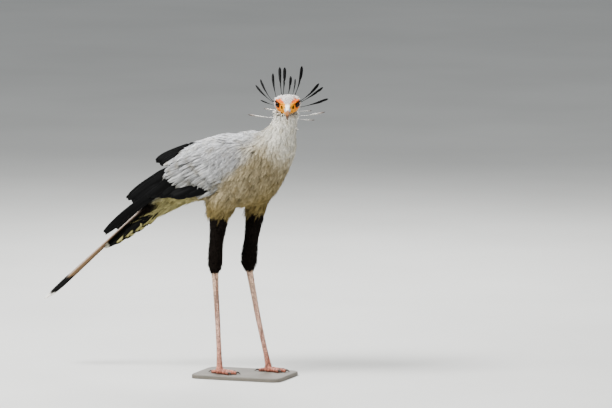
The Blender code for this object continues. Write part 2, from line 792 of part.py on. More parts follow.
def make_shank(side):
    """The bare lower leg, its front raised into overlapping scutes and its lower end rounded to the foot."""
    rows = SHANKS[side]
    low, high = rows[-1][2] + GAP, TROUSERS[side][-1][2] - GAP
    count = 2 * SCUTES
    even = smooth_rows(rows, 81)

    def at(z):
        k = min(range(80), key=lambda i: abs((even[i][2] + even[i + 1][2]) / 2 - z))
        f = (z - even[k][2]) / (even[k + 1][2] - even[k][2])
        return [a + (b - a) * f for a, b in zip(even[k], even[k + 1])]

    rings = []
    for n in range(count):
        z = high + (low - high) * n / (count - 1)
        x, y, _, fore, wide = at(z)
        raised = SCUTE_RISE if n % 2 == 1 else 0.0
        loop = []
        for i in range(8):
            c, s = superellipse(2 * math.pi * i / 8, 2.2)
            front = max(0.0, c) ** 0.5
            loop.append(Vector((x + (fore + raised * front) * c, y + (wide + raised * front * 0.6) * s, z)))
        rings.append(loop)
    return loft("shank_" + side, rings)


def toe_direction(side, angle):
    turn = math.radians(FOOT_HEADING[side] + (angle if side == "R" else -angle))
    return Vector((math.cos(turn), math.sin(turn), 0))


def toe_radius(t, root, tip):
    """Radius along a toe, swelling at each pad."""
    return (root + (tip - root) * t) * (1 + 0.07 * math.cos(6 * math.pi * t))


def toe(side, name, angle, length, root, tip):
    direction = toe_direction(side, angle)
    across = Vector((-direction.y, direction.x, 0))
    start = Vector((SHANKS[side][-1][0], SHANKS[side][-1][1], 0))
    rings = []
    for k in range(7):
        t = k / 6
        radius = toe_radius(t, root, tip)
        lift = 0.008 * (1 - t) ** 3
        centre = start + direction * (0.002 + length * t) + Vector((0, 0, radius * 0.86 + lift * 0.4))
        loop = []
        for i in range(TOE_SIDES):
            a = 2 * math.pi * (i + 0.5) / TOE_SIDES
            p = centre + across * (radius * math.cos(a)) + Vector((0, 0, radius * math.sin(a)))
            p.z = max(p.z, 0.0)
            loop.append(p)
        rings.append(loop)
    return loft("toe_%s_%s" % (side, name), rings)


def claw(side, name, angle, length, tip_radius):
    """A stout curved claw that meets the toe's end and comes down just clear of the floor."""
    direction = toe_direction(side, angle)
    across = Vector((-direction.y, direction.x, 0))
    start = Vector((SHANKS[side][-1][0], SHANKS[side][-1][1], 0)) + direction * (0.002 + length + GAP)
    rings = []
    base = tip_radius * 0.72
    for k in range(5):
        t = k / 4
        radius = base * (1 - 0.80 * t)
        height = tip_radius * 0.95 + 0.0022 * math.sin(math.pi * min(t * 1.3, 1.0)) - (tip_radius * 0.95 - 0.0016) * t * t
        centre = start + direction * (CLAW_LENGTH * t) + Vector((0, 0, height))
        loop = []
        for i in range(8):
            a = 2 * math.pi * i / 8
            rise = radius * math.sin(a) * math.cos(0.9 * t)
            p = centre + across * (radius * 0.8 * math.cos(a)) + Vector((0, 0, rise))
            p += direction * (radius * math.sin(a) * math.sin(0.9 * t))
            p.z = max(p.z, FLOOR_CLEAR)
            loop.append(p)
        rings.append(loop)
    return loft("claw_%s_%s" % (side, name), rings)


def make_foot(side):
    x, y, top = SHANKS[side][-1][:3]
    rings = []
    for z, fore, wide in ((0.0, 0.0105, 0.0100), (0.005, 0.0125, 0.0120), (0.013, 0.0118, 0.0110), (0.019, 0.0104, 0.0094), (top, 0.0098, 0.0088)):
        rings.append(
            [
                Vector((x + fore * c + 0.002 * (1 - z / top), y + wide * s, z))
                for c, s in (superellipse(2 * math.pi * i / 12, 2.2) for i in range(12))
            ]
        )
    foot = loft("foot_" + side, rings)
    join_all(foot, [toe(side, *row) for row in TOES])
    for name, angle, length, _, tip in TOES:
        claw(side, name, angle, length, tip)
    return foot


def make_base():
    """A plain flat base a hair below the soles, its corners round and its top edge bevelled."""
    rings = []
    for height, inset in ((-BASE_THICK, 0.0), (-0.0025, 0.0), (0.0, 0.0025)):
        centre = Vector((0, BASE_MIDDLE_Y, height - 0.0003))
        half, reach = BASE_HALF_WIDTH - inset, BASE_HALF_LENGTH - inset
        rings.append(ring(centre, Vector((0, 1, 0)), Vector((-1, 0, 0)), half, reach, reach, 48, 9.0))
    return loft("stand_base", rings)


# Finish of each kind of node: colour (linear), roughness.
FINISHES = {
    "stand": ((0.60, 0.58, 0.55), 0.7),
    "torso": ((0.52, 0.47, 0.40), 0.85),
    "neck": ((0.58, 0.55, 0.51), 0.85),
    "head": ((0.80, 0.30, 0.06), 0.7),
    "tail": ((0.05, 0.05, 0.05), 0.6),
    "wing": ((0.42, 0.42, 0.44), 0.75),
    "trousers": ((0.012, 0.011, 0.011), 0.8),
    "shank": ((0.62, 0.42, 0.38), 0.55),
    "foot": ((0.62, 0.38, 0.33), 0.55),
    "claw": ((0.03, 0.028, 0.026), 0.35),
    "bill": ((0.55, 0.58, 0.62), 0.35),
    "eye": ((0.03, 0.02, 0.012), 0.05),
}


def finish(obj):
    part_touching(obj)
    colour, roughness = FINISHES[obj.name.split("_")[0]]
    material = bpy.data.materials.new(obj.name)
    material.use_nodes = True
    shader = material.node_tree.nodes["Principled BSDF"]
    shader.inputs["Base Color"].default_value = (*colour, 1)
    shader.inputs["Roughness"].default_value = roughness
    obj.data.materials.clear()
    obj.data.materials.append(material)
    obj.data.transform(Matrix.Translation(STANCE))
    obj.data.shade_smooth()
    obj.data.set_sharp_from_angle(angle=math.radians(40))


def main():
    for obj in list(bpy.data.objects):
        bpy.data.objects.remove(obj)
    random.seed(7)
    torso = make_torso()
    make_neck()
    make_head()
    make_bill()
    for name, side in (("eye_L", 1), ("eye_R", -1)):
        eye_ball(name, side, EYE_RADIUS, 16, 10)
    tail = make_tail()
    make_wing(1, "wing_L", torso, tail)
    make_wing(-1, "wing_R", torso, tail)
    for side in ("R", "L"):
        make_trousers(side, torso)
        make_shank(side)
        make_foot(side)
    make_base()
    for obj in bpy.data.objects:
        finish(obj)


main()
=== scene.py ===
"""Dresses a still, life-size secretary bird: skin, plumage, crest, face, bill, eyes and scaled legs."""

import json
import math

import bmesh
import bpy
import numpy as np
from mathutils import Matrix, Vector

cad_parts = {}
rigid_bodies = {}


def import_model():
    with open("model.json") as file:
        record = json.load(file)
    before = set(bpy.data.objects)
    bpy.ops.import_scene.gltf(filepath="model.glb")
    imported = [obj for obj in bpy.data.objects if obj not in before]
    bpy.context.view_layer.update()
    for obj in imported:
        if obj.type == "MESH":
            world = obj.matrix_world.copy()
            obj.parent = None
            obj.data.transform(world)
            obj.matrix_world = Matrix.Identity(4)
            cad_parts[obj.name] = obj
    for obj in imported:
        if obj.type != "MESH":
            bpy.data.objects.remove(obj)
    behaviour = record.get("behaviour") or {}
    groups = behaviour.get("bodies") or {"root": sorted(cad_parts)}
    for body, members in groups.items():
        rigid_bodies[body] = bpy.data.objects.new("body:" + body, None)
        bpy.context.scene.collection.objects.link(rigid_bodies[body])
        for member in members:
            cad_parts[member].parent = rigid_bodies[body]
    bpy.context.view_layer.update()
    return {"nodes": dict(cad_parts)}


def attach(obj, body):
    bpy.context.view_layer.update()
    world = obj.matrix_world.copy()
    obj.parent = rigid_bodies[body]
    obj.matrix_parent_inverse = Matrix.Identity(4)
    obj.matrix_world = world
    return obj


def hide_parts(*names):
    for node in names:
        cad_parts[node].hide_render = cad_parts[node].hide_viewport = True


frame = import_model()

bl_info = {
    "name": "Secretary Bird Dresser",
    "version": (1, 0, 0),
    "blender": (4, 5, 0),
    "location": "3D View > Sidebar > Secretary Bird",
    "description": "Builds the skin, plumage, face, legs and stage of a life-size secretary bird",
    "category": "Object",
}

# The solids' own sizes, in metres from the point midway between the feet; STANCE moves them to the frame.
STANCE = Vector((0.2173, -0.0120, 0.0123))
STANCE_ROW = np.array(STANCE)
BODY_POWER = 2.15
# Stations of the body and neck: x, z, slope in degrees, half width, reach above, reach below.
SPINE = (
    (-0.342, 0.497, 42, 0.018, 0.008, 0.026),
    (-0.275, 0.556, 41, 0.042, 0.024, 0.060),
    (-0.200, 0.614, 35, 0.068, 0.055, 0.090),
    (-0.130, 0.650, 24, 0.084, 0.080, 0.122),
    (-0.050, 0.668, 18, 0.092, 0.090, 0.149),
    (0.020, 0.682, 25, 0.093, 0.087, 0.146),
    (0.075, 0.712, 42, 0.086, 0.075, 0.100),
    (0.105, 0.745, 62, 0.070, 0.054, 0.075),
    (0.127, 0.777, 76, 0.053, 0.045, 0.050),
    (0.139, 0.805, 82, 0.041, 0.041, 0.041),
    (0.144, 0.833, 84, 0.040, 0.037, 0.036),
)
# Stations of the legs, from the top down: x, y, z, half depth, half width.
THIGHS = {
    "R": (
        (-0.012, -0.044, 0.640, 0.050, 0.030),
        (-0.034, -0.050, 0.590, 0.066, 0.040),
        (-0.050, -0.051, 0.545, 0.054, 0.039),
        (-0.059, -0.049, 0.509, 0.036, 0.031),
    ),
    "L": (
        (0.045, 0.044, 0.640, 0.046, 0.030),
        (0.034, 0.051, 0.590, 0.054, 0.040),
        (0.026, 0.053, 0.550, 0.044, 0.039),
        (0.022, 0.053, 0.517, 0.032, 0.031),
    ),
}
TROUSERS = {
    "R": (
        (-0.050, -0.050, 0.548, 0.028, 0.025),
        (-0.0615, -0.048, 0.504, 0.0285, 0.0265),
        (-0.0675, -0.047, 0.462, 0.0255, 0.0235),
        (-0.0735, -0.045, 0.421, 0.0222, 0.0205),
        (-0.0775, -0.044, 0.380, 0.0225, 0.0200),
        (-0.0785, -0.043, 0.351, 0.0225, 0.0200),
        (-0.0790, -0.042, 0.333, 0.0185, 0.0170),
        (-0.0795, -0.042, 0.3215, 0.0125, 0.0115),
    ),
    "L": (
        (0.028, 0.053, 0.552, 0.027, 0.025),
        (0.0215, 0.053, 0.515, 0.0275, 0.0265),
        (0.0165, 0.053, 0.480, 0.0265, 0.0245),
        (0.0075, 0.054, 0.425, 0.0225, 0.0205),
        (0.0000, 0.055, 0.375, 0.0250, 0.0205),
        (-0.0015, 0.055, 0.349, 0.0248, 0.0205),
        (-0.0012, 0.055, 0.332, 0.0195, 0.0175),
        (-0.0008, 0.055, 0.3205, 0.0125, 0.0115),
    ),
}
SHANKS = {
    "R": (
        (-0.0795, -0.042, 0.3320, 0.0125, 0.0115),
        (-0.0800, -0.042, 0.3212, 0.0112, 0.0100),
        (-0.0772, -0.041, 0.259, 0.0090, 0.0070),
        (-0.0726, -0.040, 0.178, 0.0083, 0.0063),
        (-0.0690, -0.039, 0.097, 0.0078, 0.0061),
        (-0.0677, -0.038, 0.056, 0.0082, 0.0066),
        (-0.0665, -0.038, 0.022, 0.0098, 0.0088),
        (-0.0660, -0.038, 0.010, 0.0100, 0.0090),
    ),
    "L": (
        (-0.0010, 0.055, 0.3320, 0.0125, 0.0115),
        (-0.0006, 0.055, 0.3202, 0.0112, 0.0100),
        (0.0122, 0.056, 0.251, 0.0095, 0.0070),
        (0.0278, 0.057, 0.170, 0.0086, 0.0063),
        (0.0455, 0.058, 0.091, 0.0079, 0.0061),
        (0.0538, 0.059, 0.054, 0.0082, 0.0066),
        (0.0605, 0.060, 0.022, 0.0098, 0.0088),
        (0.0620, 0.060, 0.010, 0.0100, 0.0090),
    ),
}
FOOT_AT = {"R": Vector((-0.0665, -0.038, 0)), "L": Vector((0.0605, 0.060, 0))}
FOOT_HEADING = {"R": -2.0, "L": 2.0}
# Toes: name, angle out from the foot's heading, length, radius at the root, radius at the tip.
TOES = (
    ("inner", 24.0, 0.042, 0.0078, 0.0056),
    ("middle", 0.0, 0.056, 0.0082, 0.0058),
    ("outer", -27.0, 0.042, 0.0076, 0.0055),
    ("hind", 168.0, 0.027, 0.0072, 0.0052),
)
CLAW_LENGTH = 0.015
HEAD_AT = Vector((0.1541, -0.017, 0.8609))
HEAD_YAW = -70.0
HEAD_PITCH = 15.0
# Stations in the head's own frame: x, z, half width, reach above, reach below.
HEAD_STATIONS = (
    (-0.050, -0.0040, 0.016, 0.015, 0.018),
    (-0.045, -0.0050, 0.028, 0.021, 0.028),
    (-0.033, -0.0050, 0.0385, 0.026, 0.036),
    (-0.016, -0.0040, 0.0395, 0.027, 0.036),
    (0.000, -0.0030, 0.0350, 0.0245, 0.032),
    (0.012, -0.0040, 0.0300, 0.0215, 0.026),
    (0.022, -0.0055, 0.0230, 0.0180, 0.020),
    (0.030, -0.0070, 0.0165, 0.0150, 0.0145),
)
# Stations of the bill: x, top, bottom, half width.
BILL_STATIONS = (
    (0.0303, 0.0080, -0.0125, 0.0150),
    (0.0380, 0.0085, -0.0130, 0.0125),
    (0.0460, 0.0070, -0.0135, 0.0100),
    (0.0540, 0.0025, -0.0150, 0.0078),
    (0.0610, -0.0055, -0.0175, 0.0058),
    (0.0655, -0.0140, -0.0225, 0.0040),
    (0.0670, -0.0230, -0.0285, 0.0022),
)
LOWER_BILL_STATIONS = (
    (0.0303, -0.0133, -0.0205, 0.0125),
    (0.0400, -0.0138, -0.0215, 0.0100),
    (0.0500, -0.0148, -0.0215, 0.0075),
    (0.0575, -0.0165, -0.0205, 0.0045),
)
EYE_RADIUS = 0.0108
EYE_AT = Vector((0.0065, 0.0262, 0.0005))
EYE_LOOK = Vector((0.42, 0.90, 0.05)).normalized()
# Crest feathers: root across and up, lean aside, sweep back, length, width in millimetres.
CREST = (
    (-0.028, -0.017, -64, 44, 0.112, 7.0),
    (-0.037, -0.013, -44, 49, 0.106, 7.0),
    (-0.028, -0.010, -16, 53, 0.110, 8.0),
    (-0.014, -0.006, -8, 54, 0.129, 9.5),
    (-0.017, -0.006, 6, 53, 0.126, 10.0),
    (-0.006, -0.002, 17, 53, 0.091, 8.5),
    (0.007, -0.003, 20, 53, 0.083, 4.5),
    (0.011, -0.004, 24, 52, 0.135, 10.0),
    (0.024, -0.012, 65, 44, 0.115, 9.5),
    (0.026, -0.017, 72, 41, 0.119, 9.0),
    (0.027, -0.027, 89, 35, 0.123, 9.0),
    (0.025, -0.055, 96, 32, 0.110, 7.0),
    (0.023, -0.062, 108, 27, 0.073, 6.0),
    (-0.029, -0.022, -86, 36, 0.069, 4.5),
    (-0.027, -0.034, -99, 31, 0.055, 5.0),
    (-0.028, -0.060, -98, 31, 0.113, 7.5),
    (0.026, -0.037, 103, 29, 0.059, 5.0),
)
TAIL_ROOT = Vector((-0.236, 0.0, 0.606))
TAIL_DROOP = 41.2
TAIL_LENGTHS = (0.590, 0.322, 0.298, 0.262, 0.220, 0.180)
TAIL_WIDTHS = (0.026, 0.030, 0.031, 0.032, 0.032, 0.030)
# The folded wing's cover: place along the body, top and bottom edges in degrees round it, swelling.
WING_SHIELD = (
    (0.155, 52, 16, 0.004),
    (0.200, 66, -22, 0.009),
    (0.260, 68, -42, 0.012),
    (0.340, 64, -50, 0.014),
    (0.430, 56, -42, 0.014),
    (0.510, 44, -28, 0.012),
    (0.580, 24, -12, 0.008),
    (0.620, 10, -2, 0.004),
)

# The photograph's view: turned from the bird's right side towards its head, and a little above.
VIEW_TURN = 20.0
VIEW_RISE = 7.0
VIEW_DISTANCE = 25.0
METRES_PER_PIXEL = 0.00315
VIEW_CENTRE = (62.5, 169.0)
PICTURE_WIDTH = 612
SENSOR_WIDTH = 36.0


def smoothstep(a, b, x):
    """0 up to a, 1 from b on and a smooth rise between, or the fall if b is below a."""
    t = np.clip((np.asarray(x, float) - a) / (b - a), 0, 1)
    return t * t * (3 - 2 * t)


def smooth_rows(rows, count):
    """Rows read at even steps from a smooth curve through the given rows, as an array."""
    p = np.array(rows, float)
    p = np.vstack([2 * p[0] - p[1], p, 2 * p[-1] - p[-2]])
    t = np.linspace(0, len(rows) - 1, count)
    k = np.minimum(t.astype(int), len(rows) - 2)
    f = (t - k)[:, None]
    p0, p1, p2, p3 = p[k], p[k + 1], p[k + 2], p[k + 3]
    bend = 2 * p0 - 5 * p1 + 4 * p2 - p3 + f * (3 * (p1 - p2) + p3 - p0)
    return p1 + 0.5 * f * (p2 - p0 + f * bend)


def ring_angles(count, power):
    """Points round a rounded square of this power; 2 gives a circle."""
    a = np.arange(count) * 2 * math.pi / count
    c, s = np.cos(a), np.sin(a)
    return np.sign(c) * np.abs(c) ** (2 / power), np.sign(s) * np.abs(s) ** (2 / power)


def linear(code):
    """An sRGB hex colour as linear red, green and blue."""
    parts = [int(code[i : i + 2], 16) / 255 for i in (1, 3, 5)]
    return tuple(p / 12.92 if p <= 0.04045 else ((p + 0.055) / 1.055) ** 2.4 for p in parts)


def mesh_of(name, points, faces):
    mesh = bpy.data.meshes.new(name)
    mesh.from_pydata([tuple(p) for p in points], [], [tuple(f) for f in faces])
    return mesh


def piece_of(name, mesh, material=None, smooth=True):
    obj = bpy.data.objects.new(name, mesh)
    bpy.context.scene.collection.objects.link(obj)
    if material is not None:
        mesh.materials.clear()
        mesh.materials.append(material)
    if smooth:
        mesh.shade_smooth()
    return obj


def keep(obj, slot, *nodes):
    """Settles a finished piece: it rides the bird and stands for the solids named, which it hides; slot is
    not used.
    """
    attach(obj, "root")
    if nodes:
        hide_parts(*nodes)
    return obj


def tube(rings):
    """Points and faces of a skin over rings (rows, around, 3), its ends closed by fans."""
    rows, around, _ = rings.shape
    points = list(rings.reshape(-1, 3))
    faces = []
    for k in range(rows - 1):
        for i in range(around):
            a, b = k * around + i, k * around + (i + 1) % around
            faces.append((a, b, b + around, a + around))
    for base, flip in ((0, True), ((rows - 1) * around, False)):
        points.append(np.mean(points[base : base + around], axis=0))
        apex = len(points) - 1
        for i in range(around):
            a, b = base + i, base + (i + 1) % around
            faces.append((b, a, apex) if flip else (a, b, apex))
    return points, faces


def outward(mesh):
    """The mesh with its doubled points merged and every face turned outwards."""
    bm = bmesh.new()
    bm.from_mesh(mesh)
    bmesh.ops.remove_doubles(bm, verts=bm.verts, dist=1e-6)
    bmesh.ops.recalc_face_normals(bm, faces=bm.faces)
    bm.to_mesh(mesh)
    bm.free()
    return mesh


def baked(obj):
    """The object's shape with its modifiers applied, as a plain mesh."""
    graph = bpy.context.evaluated_depsgraph_get()
    return bpy.data.meshes.new_from_object(obj.evaluated_get(graph))


def drop(obj):
    """Removes an object, and its mesh if nothing else uses it."""
    mesh = obj.data
    bpy.data.objects.remove(obj)
    if mesh.users == 0:
        bpy.data.meshes.remove(mesh)


def fused(name, parts, voxel, smoothing):
    """One closed skin over overlapping parts, its creases softened."""
    bm = bmesh.new()
    for points, faces in parts:
        verts = [bm.verts.new(tuple(p)) for p in points]
        for face in faces:
            bm.faces.new([verts[i] for i in face])
    bmesh.ops.recalc_face_normals(bm, faces=bm.faces)
    mesh = bpy.data.meshes.new(name)
    bm.to_mesh(mesh)
    bm.free()
    obj = piece_of(name + "_raw", mesh, smooth=False)
    remesh = obj.modifiers.new("Fuse", "REMESH")
    remesh.mode = "VOXEL"
    remesh.voxel_size = voxel
    soften = obj.modifiers.new("Soften", "SMOOTH")
    soften.iterations = smoothing
    soften.factor = 0.5
    out = baked(obj)
    drop(obj)
    out.name = name
    return out


# Where things are on the body tube: its stations at fine steps, of which the trunk is a part.
SPINE_STEPS = 400
SPINE_TABLE = smooth_rows(SPINE, SPINE_STEPS + 1)
TRUNK = slice(40, 282)


def spine_at(t):
    """Centre, heading, up and reaches of the body tube at t, from 0 at the tail to 1 in the head."""
    x, z, slope, half, above, below = SPINE_TABLE[int(round(t * SPINE_STEPS))]
    a = math.radians(slope)
    along = np.array([math.cos(a), 0, math.sin(a)])
    up = np.array([-math.sin(a), 0, math.cos(a)])
    return np.array([x, 0, z]), along, up, half, above, below


def body_place(points):
    """For points in the bird's own frame: place along the tube, share of half width, share of height."""
    ahead = points[:, None, 0] - SPINE_TABLE[None, :, 0]
    over = points[:, None, 2] - SPINE_TABLE[None, :, 1]
    k = np.argmin(ahead**2 + over**2, axis=1)
    rows = SPINE_TABLE[k]
    a = np.radians(rows[:, 2])
    rise = -(points[:, 0] - rows[:, 0]) * np.sin(a) + (points[:, 2] - rows[:, 1]) * np.cos(a)
    reach = np.where(rise > 0, rows[:, 4], rows[:, 5])
    along = np.stack([np.cos(a), np.zeros(len(a)), np.sin(a)], axis=1)
    return k / SPINE_STEPS, points[:, 1] / rows[:, 3], rise / reach, along


def body_side(x, z):
    """Half width of the body tube at this place in side view, and its outward direction there."""
    rows = SPINE_TABLE[TRUNK]
    a = np.radians(rows[:, 2])
    ahead = (x - rows[:, 0]) * np.cos(a) + (z - rows[:, 1]) * np.sin(a)
    k = int(np.argmin(np.abs(ahead)))
    row, a = rows[k], a[k]
    rise = -(x - row[0]) * math.sin(a) + (z - row[1]) * math.cos(a)
    reach = row[4] if rise > 0 else row[5]
    share = rise / reach
    width = row[3] * max(0.0, 1 - abs(share) ** BODY_POWER) ** (1 / BODY_POWER)
    held = max(-0.75, min(0.75, share))
    lean = held / reach
    out = Vector((-math.sin(a) * lean, math.sqrt(1 - held * held) / row[3], math.cos(a) * lean))
    return width, out.normalized()


def body_rings(count, around, inset):
    """Rings of the trunk and neck, drawn in by inset."""
    c, s = ring_angles(around, BODY_POWER)
    rings = []
    for row in smooth_rows(SPINE, count):
        x, z, slope, half, above, below = row
        a = math.radians(slope)
        up = np.array([-math.sin(a), 0, math.cos(a)])
        reach = np.where(s > 0, max(above - inset, 0.004), max(below - inset, 0.006))
        centre = np.array([x, 0, z])
        rings.append(centre + np.outer(c * max(half - inset, 0.006), (0, 1, 0)) + (s * reach)[:, None] * up)
    return np.array(rings)


def leg_rings(rows, count, around, inset):
    """Level rings of one leg, drawn in by inset."""
    c, s = ring_angles(around, 2.0)
    rings = []
    for x, y, z, fore, side in smooth_rows(rows, count):
        ring = np.stack([x + (fore - inset) * c, y + (side - inset) * s, np.full(around, z)], axis=1)
        rings.append(ring)
    return np.array(rings)


def shield_rings(side, count, lift):
    """The folded wing's cover as closed rings: outer side swollen, inner side sunk in the flank."""
    rings = []
    across = 15
    for t, top, bottom, swell in smooth_rows(WING_SHIELD, count):
        centre, _, up, half, above, below = spine_at(t)
        outer, inner = [], []
        for k in range(across):
            share = k / (across - 1)
            angle = math.radians(top + (bottom - top) * share)
            c, s = math.cos(angle), math.sin(angle)
            c = math.copysign(abs(c) ** (2 / BODY_POWER), c)
            s = math.copysign(abs(s) ** (2 / BODY_POWER), s)
            reach = above if s > 0 else below
            at = centre + np.array([0, side * half * c, 0]) + up * (reach * s)
            radial = np.array([0, side * c / half, 0]) + up * (s / reach)
            radial /= np.linalg.norm(radial)
            out = swell * (0.35 + 0.65 * math.sin(math.pi * share)) - lift
            outer.append(at + radial * out)
            inner.append(at - radial * 0.022)
        rings.append(outer + inner[::-1])
    return np.array(rings)


def head_matrix():
    """Where the head is and how it is turned, in the frame."""
    yaw = Matrix.Rotation(math.radians(HEAD_YAW), 4, "Z")
    pitch = Matrix.Rotation(math.radians(HEAD_PITCH), 4, "Y")
    return Matrix.Translation(HEAD_AT + STANCE) @ yaw @ pitch


HEAD = head_matrix()
HEAD_TURN = np.array(HEAD.to_3x3())
HEAD_SPOT = np.array(HEAD.translation)


def to_world(points):
    return np.asarray(points) @ HEAD_TURN.T + HEAD_SPOT


def to_head(points):
    return (np.asarray(points) - HEAD_SPOT) @ HEAD_TURN


# Materials. Sizes in them are real ones, in millimetres, unless a comment says that they are drawn coarser.
def plug(tree, node, inputs):
    """Gives a node's inputs their values or links; a node given as one is linked by its first live output."""
    for name, value in inputs.items():
        socket = node.inputs[name]
        if isinstance(value, bpy.types.Node):
            value = next(out for out in value.outputs if out.enabled)
        if isinstance(value, bpy.types.NodeSocket):
            tree.links.new(value, socket)
        elif socket.type == "RGBA":
            socket.default_value = (*value, 1)
        else:
            socket.default_value = value


def add(tree, kind, inputs=None, stops=(), **settings):
    """Adds one node with its settings and links; stops are a colour ramp's places and colours."""
    node = tree.nodes.new(kind)
    for name, value in settings.items():
        setattr(node, name, value)
    plug(tree, node, inputs or {})
    if stops:
        band = node.color_ramp.elements
        while len(band) < len(stops):
            band.new(0.5)
        for stop, (at, colour) in zip(band, stops):
            stop.position = at
            stop.color = (*colour, 1)
    return node


def new_material(name):
    """A new material with its node tree and the shader in it."""
    made = bpy.data.materials.new(name)
    made.use_nodes = True
    tree = made.node_tree
    return made, tree, tree.nodes["Principled BSDF"]


def grey(level):
    return (level, level, level)


def cells(size):
    """A texture's scale for a pattern of this size, in millimetres."""
    return 1000.0 / size


def tinted(tree, colour, *layers):
    """A colour multiplied by layers, each a weight, what drives it and its stops."""
    for weight, source, stops in layers:
        layer = add(tree, "ShaderNodeValToRGB", {"Fac": source}, stops=stops)
        given = {0: weight, 6: colour, 7: layer}
        colour = add(tree, "ShaderNodeMix", given, data_type="RGBA", blend_type="MULTIPLY")
    return colour


def across_shaft(tree, parts):
    """How far a place on a feather lies from its shaft, from 0 to half its width."""
    off = add(tree, "ShaderNodeMath", {0: parts.outputs["Y"], 1: 0.5}, operation="SUBTRACT")
    return add(tree, "ShaderNodeMath", {0: off}, operation="ABSOLUTE")


# Streaks and blotches on a feather: how many along it and across it. Barbs: how many, and how far they lean.
# Real barbs are some ten times finer; these are as coarse as they need to be to show.
VANE_STREAKS = (2.5, 16.0, 1.0)
# Along a contour feather: painted shade at the root, where it lies under its neighbours, rising to a pale
# tip.
VANE_SHADE_TONES = ((0.0, grey(0.34)), (0.35, grey(0.62)), (0.75, grey(0.98)), (1.0, grey(1.25)))
QUILL_BLOTCHES = (7.0, 2.0, 1.0)
QUILL_BARBS = (60.0, 9.0)
TAIL_BARBS = (110.0, 14.0)


def barbs_of(tree, parts, slant, pattern):
    """A wave over a feather's slanted barbs, from -1 to 1, and the same from 0 to 1."""
    many, lean = pattern
    along = add(tree, "ShaderNodeMath", {0: parts.outputs["X"], 1: many}, operation="MULTIPLY")
    back = add(tree, "ShaderNodeMath", {0: slant, 1: lean}, operation="MULTIPLY")
    place = add(tree, "ShaderNodeMath", {0: along, 1: back}, operation="SUBTRACT")
    turns = add(tree, "ShaderNodeMath", {0: place, 1: 2 * math.pi}, operation="MULTIPLY")
    wave = add(tree, "ShaderNodeMath", {0: turns}, operation="SINE")
    return wave, add(tree, "ShaderNodeMath", {0: wave, 1: 0.5, 2: 0.5}, operation="MULTIPLY_ADD")


def contour_plumage_material():
    """Contour feathers of keratin: matt, soft, each with a pale tip, a fine shaft and a root darkened by
    painted shade where it lies under its neighbours.
    """
    made, tree, shader = new_material("contour_plumage")
    colour = add(tree, "ShaderNodeAttribute", attribute_name="paint")
    shade = add(tree, "ShaderNodeAttribute", attribute_name="shade").outputs["Fac"]
    blade = add(tree, "ShaderNodeUVMap", uv_map="blade")
    parts = add(tree, "ShaderNodeSeparateXYZ", {"Vector": blade})
    place = add(tree, "ShaderNodeTexCoord").outputs["Object"]
    drawn_out = add(tree, "ShaderNodeMapping", {"Vector": blade, "Scale": VANE_STREAKS})
    streak = add(tree, "ShaderNodeTexNoise", {"Vector": drawn_out, "Scale": 1.0, "Detail": 2.0})
    cloud = add(tree, "ShaderNodeTexNoise", {"Vector": place, "Scale": cells(26.3), "Detail": 3.0})
    colour = tinted(
        tree,
        colour,
        (1.0, parts.outputs["X"], VANE_SHADE_TONES),
        (1.0, cloud, ((0.32, (0.78, 0.74, 0.66)), (0.50, grey(1.0)), (0.68, (1.13, 1.13, 1.14)))),
        (1.0, streak, ((0.30, grey(0.66)), (0.70, grey(1.20)))),
        (1.0, across_shaft(tree, parts), ((0.0, grey(1.20)), (0.05, grey(1.0)))),
    )
    each = add(tree, "ShaderNodeMath", {0: shade, 1: 0.52, 2: 0.72}, operation="MULTIPLY_ADD")
    bright = add(tree, "ShaderNodeVectorMath", {0: colour, "Scale": each}, operation="SCALE")
    raised = add(tree, "ShaderNodeBump", {"Height": streak, "Strength": 0.35, "Distance": 0.0006})
    plug(tree, shader, {"Base Color": bright, "Normal": raised})
    plug(tree, shader, {"Roughness": 0.85, "Specular IOR Level": 0.03})
    return made


def skin_under_material():
    """Skin below the coat, in the coat's own colours, darker where light doesn't reach."""
    made, tree, shader = new_material("skin_under_coat")
    paint = add(tree, "ShaderNodeAttribute", attribute_name="paint")
    place = add(tree, "ShaderNodeTexCoord").outputs["Object"]
    pores = add(tree, "ShaderNodeTexNoise", {"Vector": place, "Scale": cells(3.8), "Detail": 3.0})
    shaded = add(tree, "ShaderNodeVectorMath", {0: paint, "Scale": 0.42}, operation="SCALE")
    colour = tinted(tree, shaded, (0.6, pores, ((0.3, grey(0.7)), (0.7, grey(1.1)))))
    raised = add(tree, "ShaderNodeBump", {"Height": pores, "Strength": 0.3, "Distance": 0.001})
    plug(tree, shader, {"Base Color": colour, "Normal": raised})
    plug(tree, shader, {"Roughness": 0.95, "Specular IOR Level": 0.05})
    return made


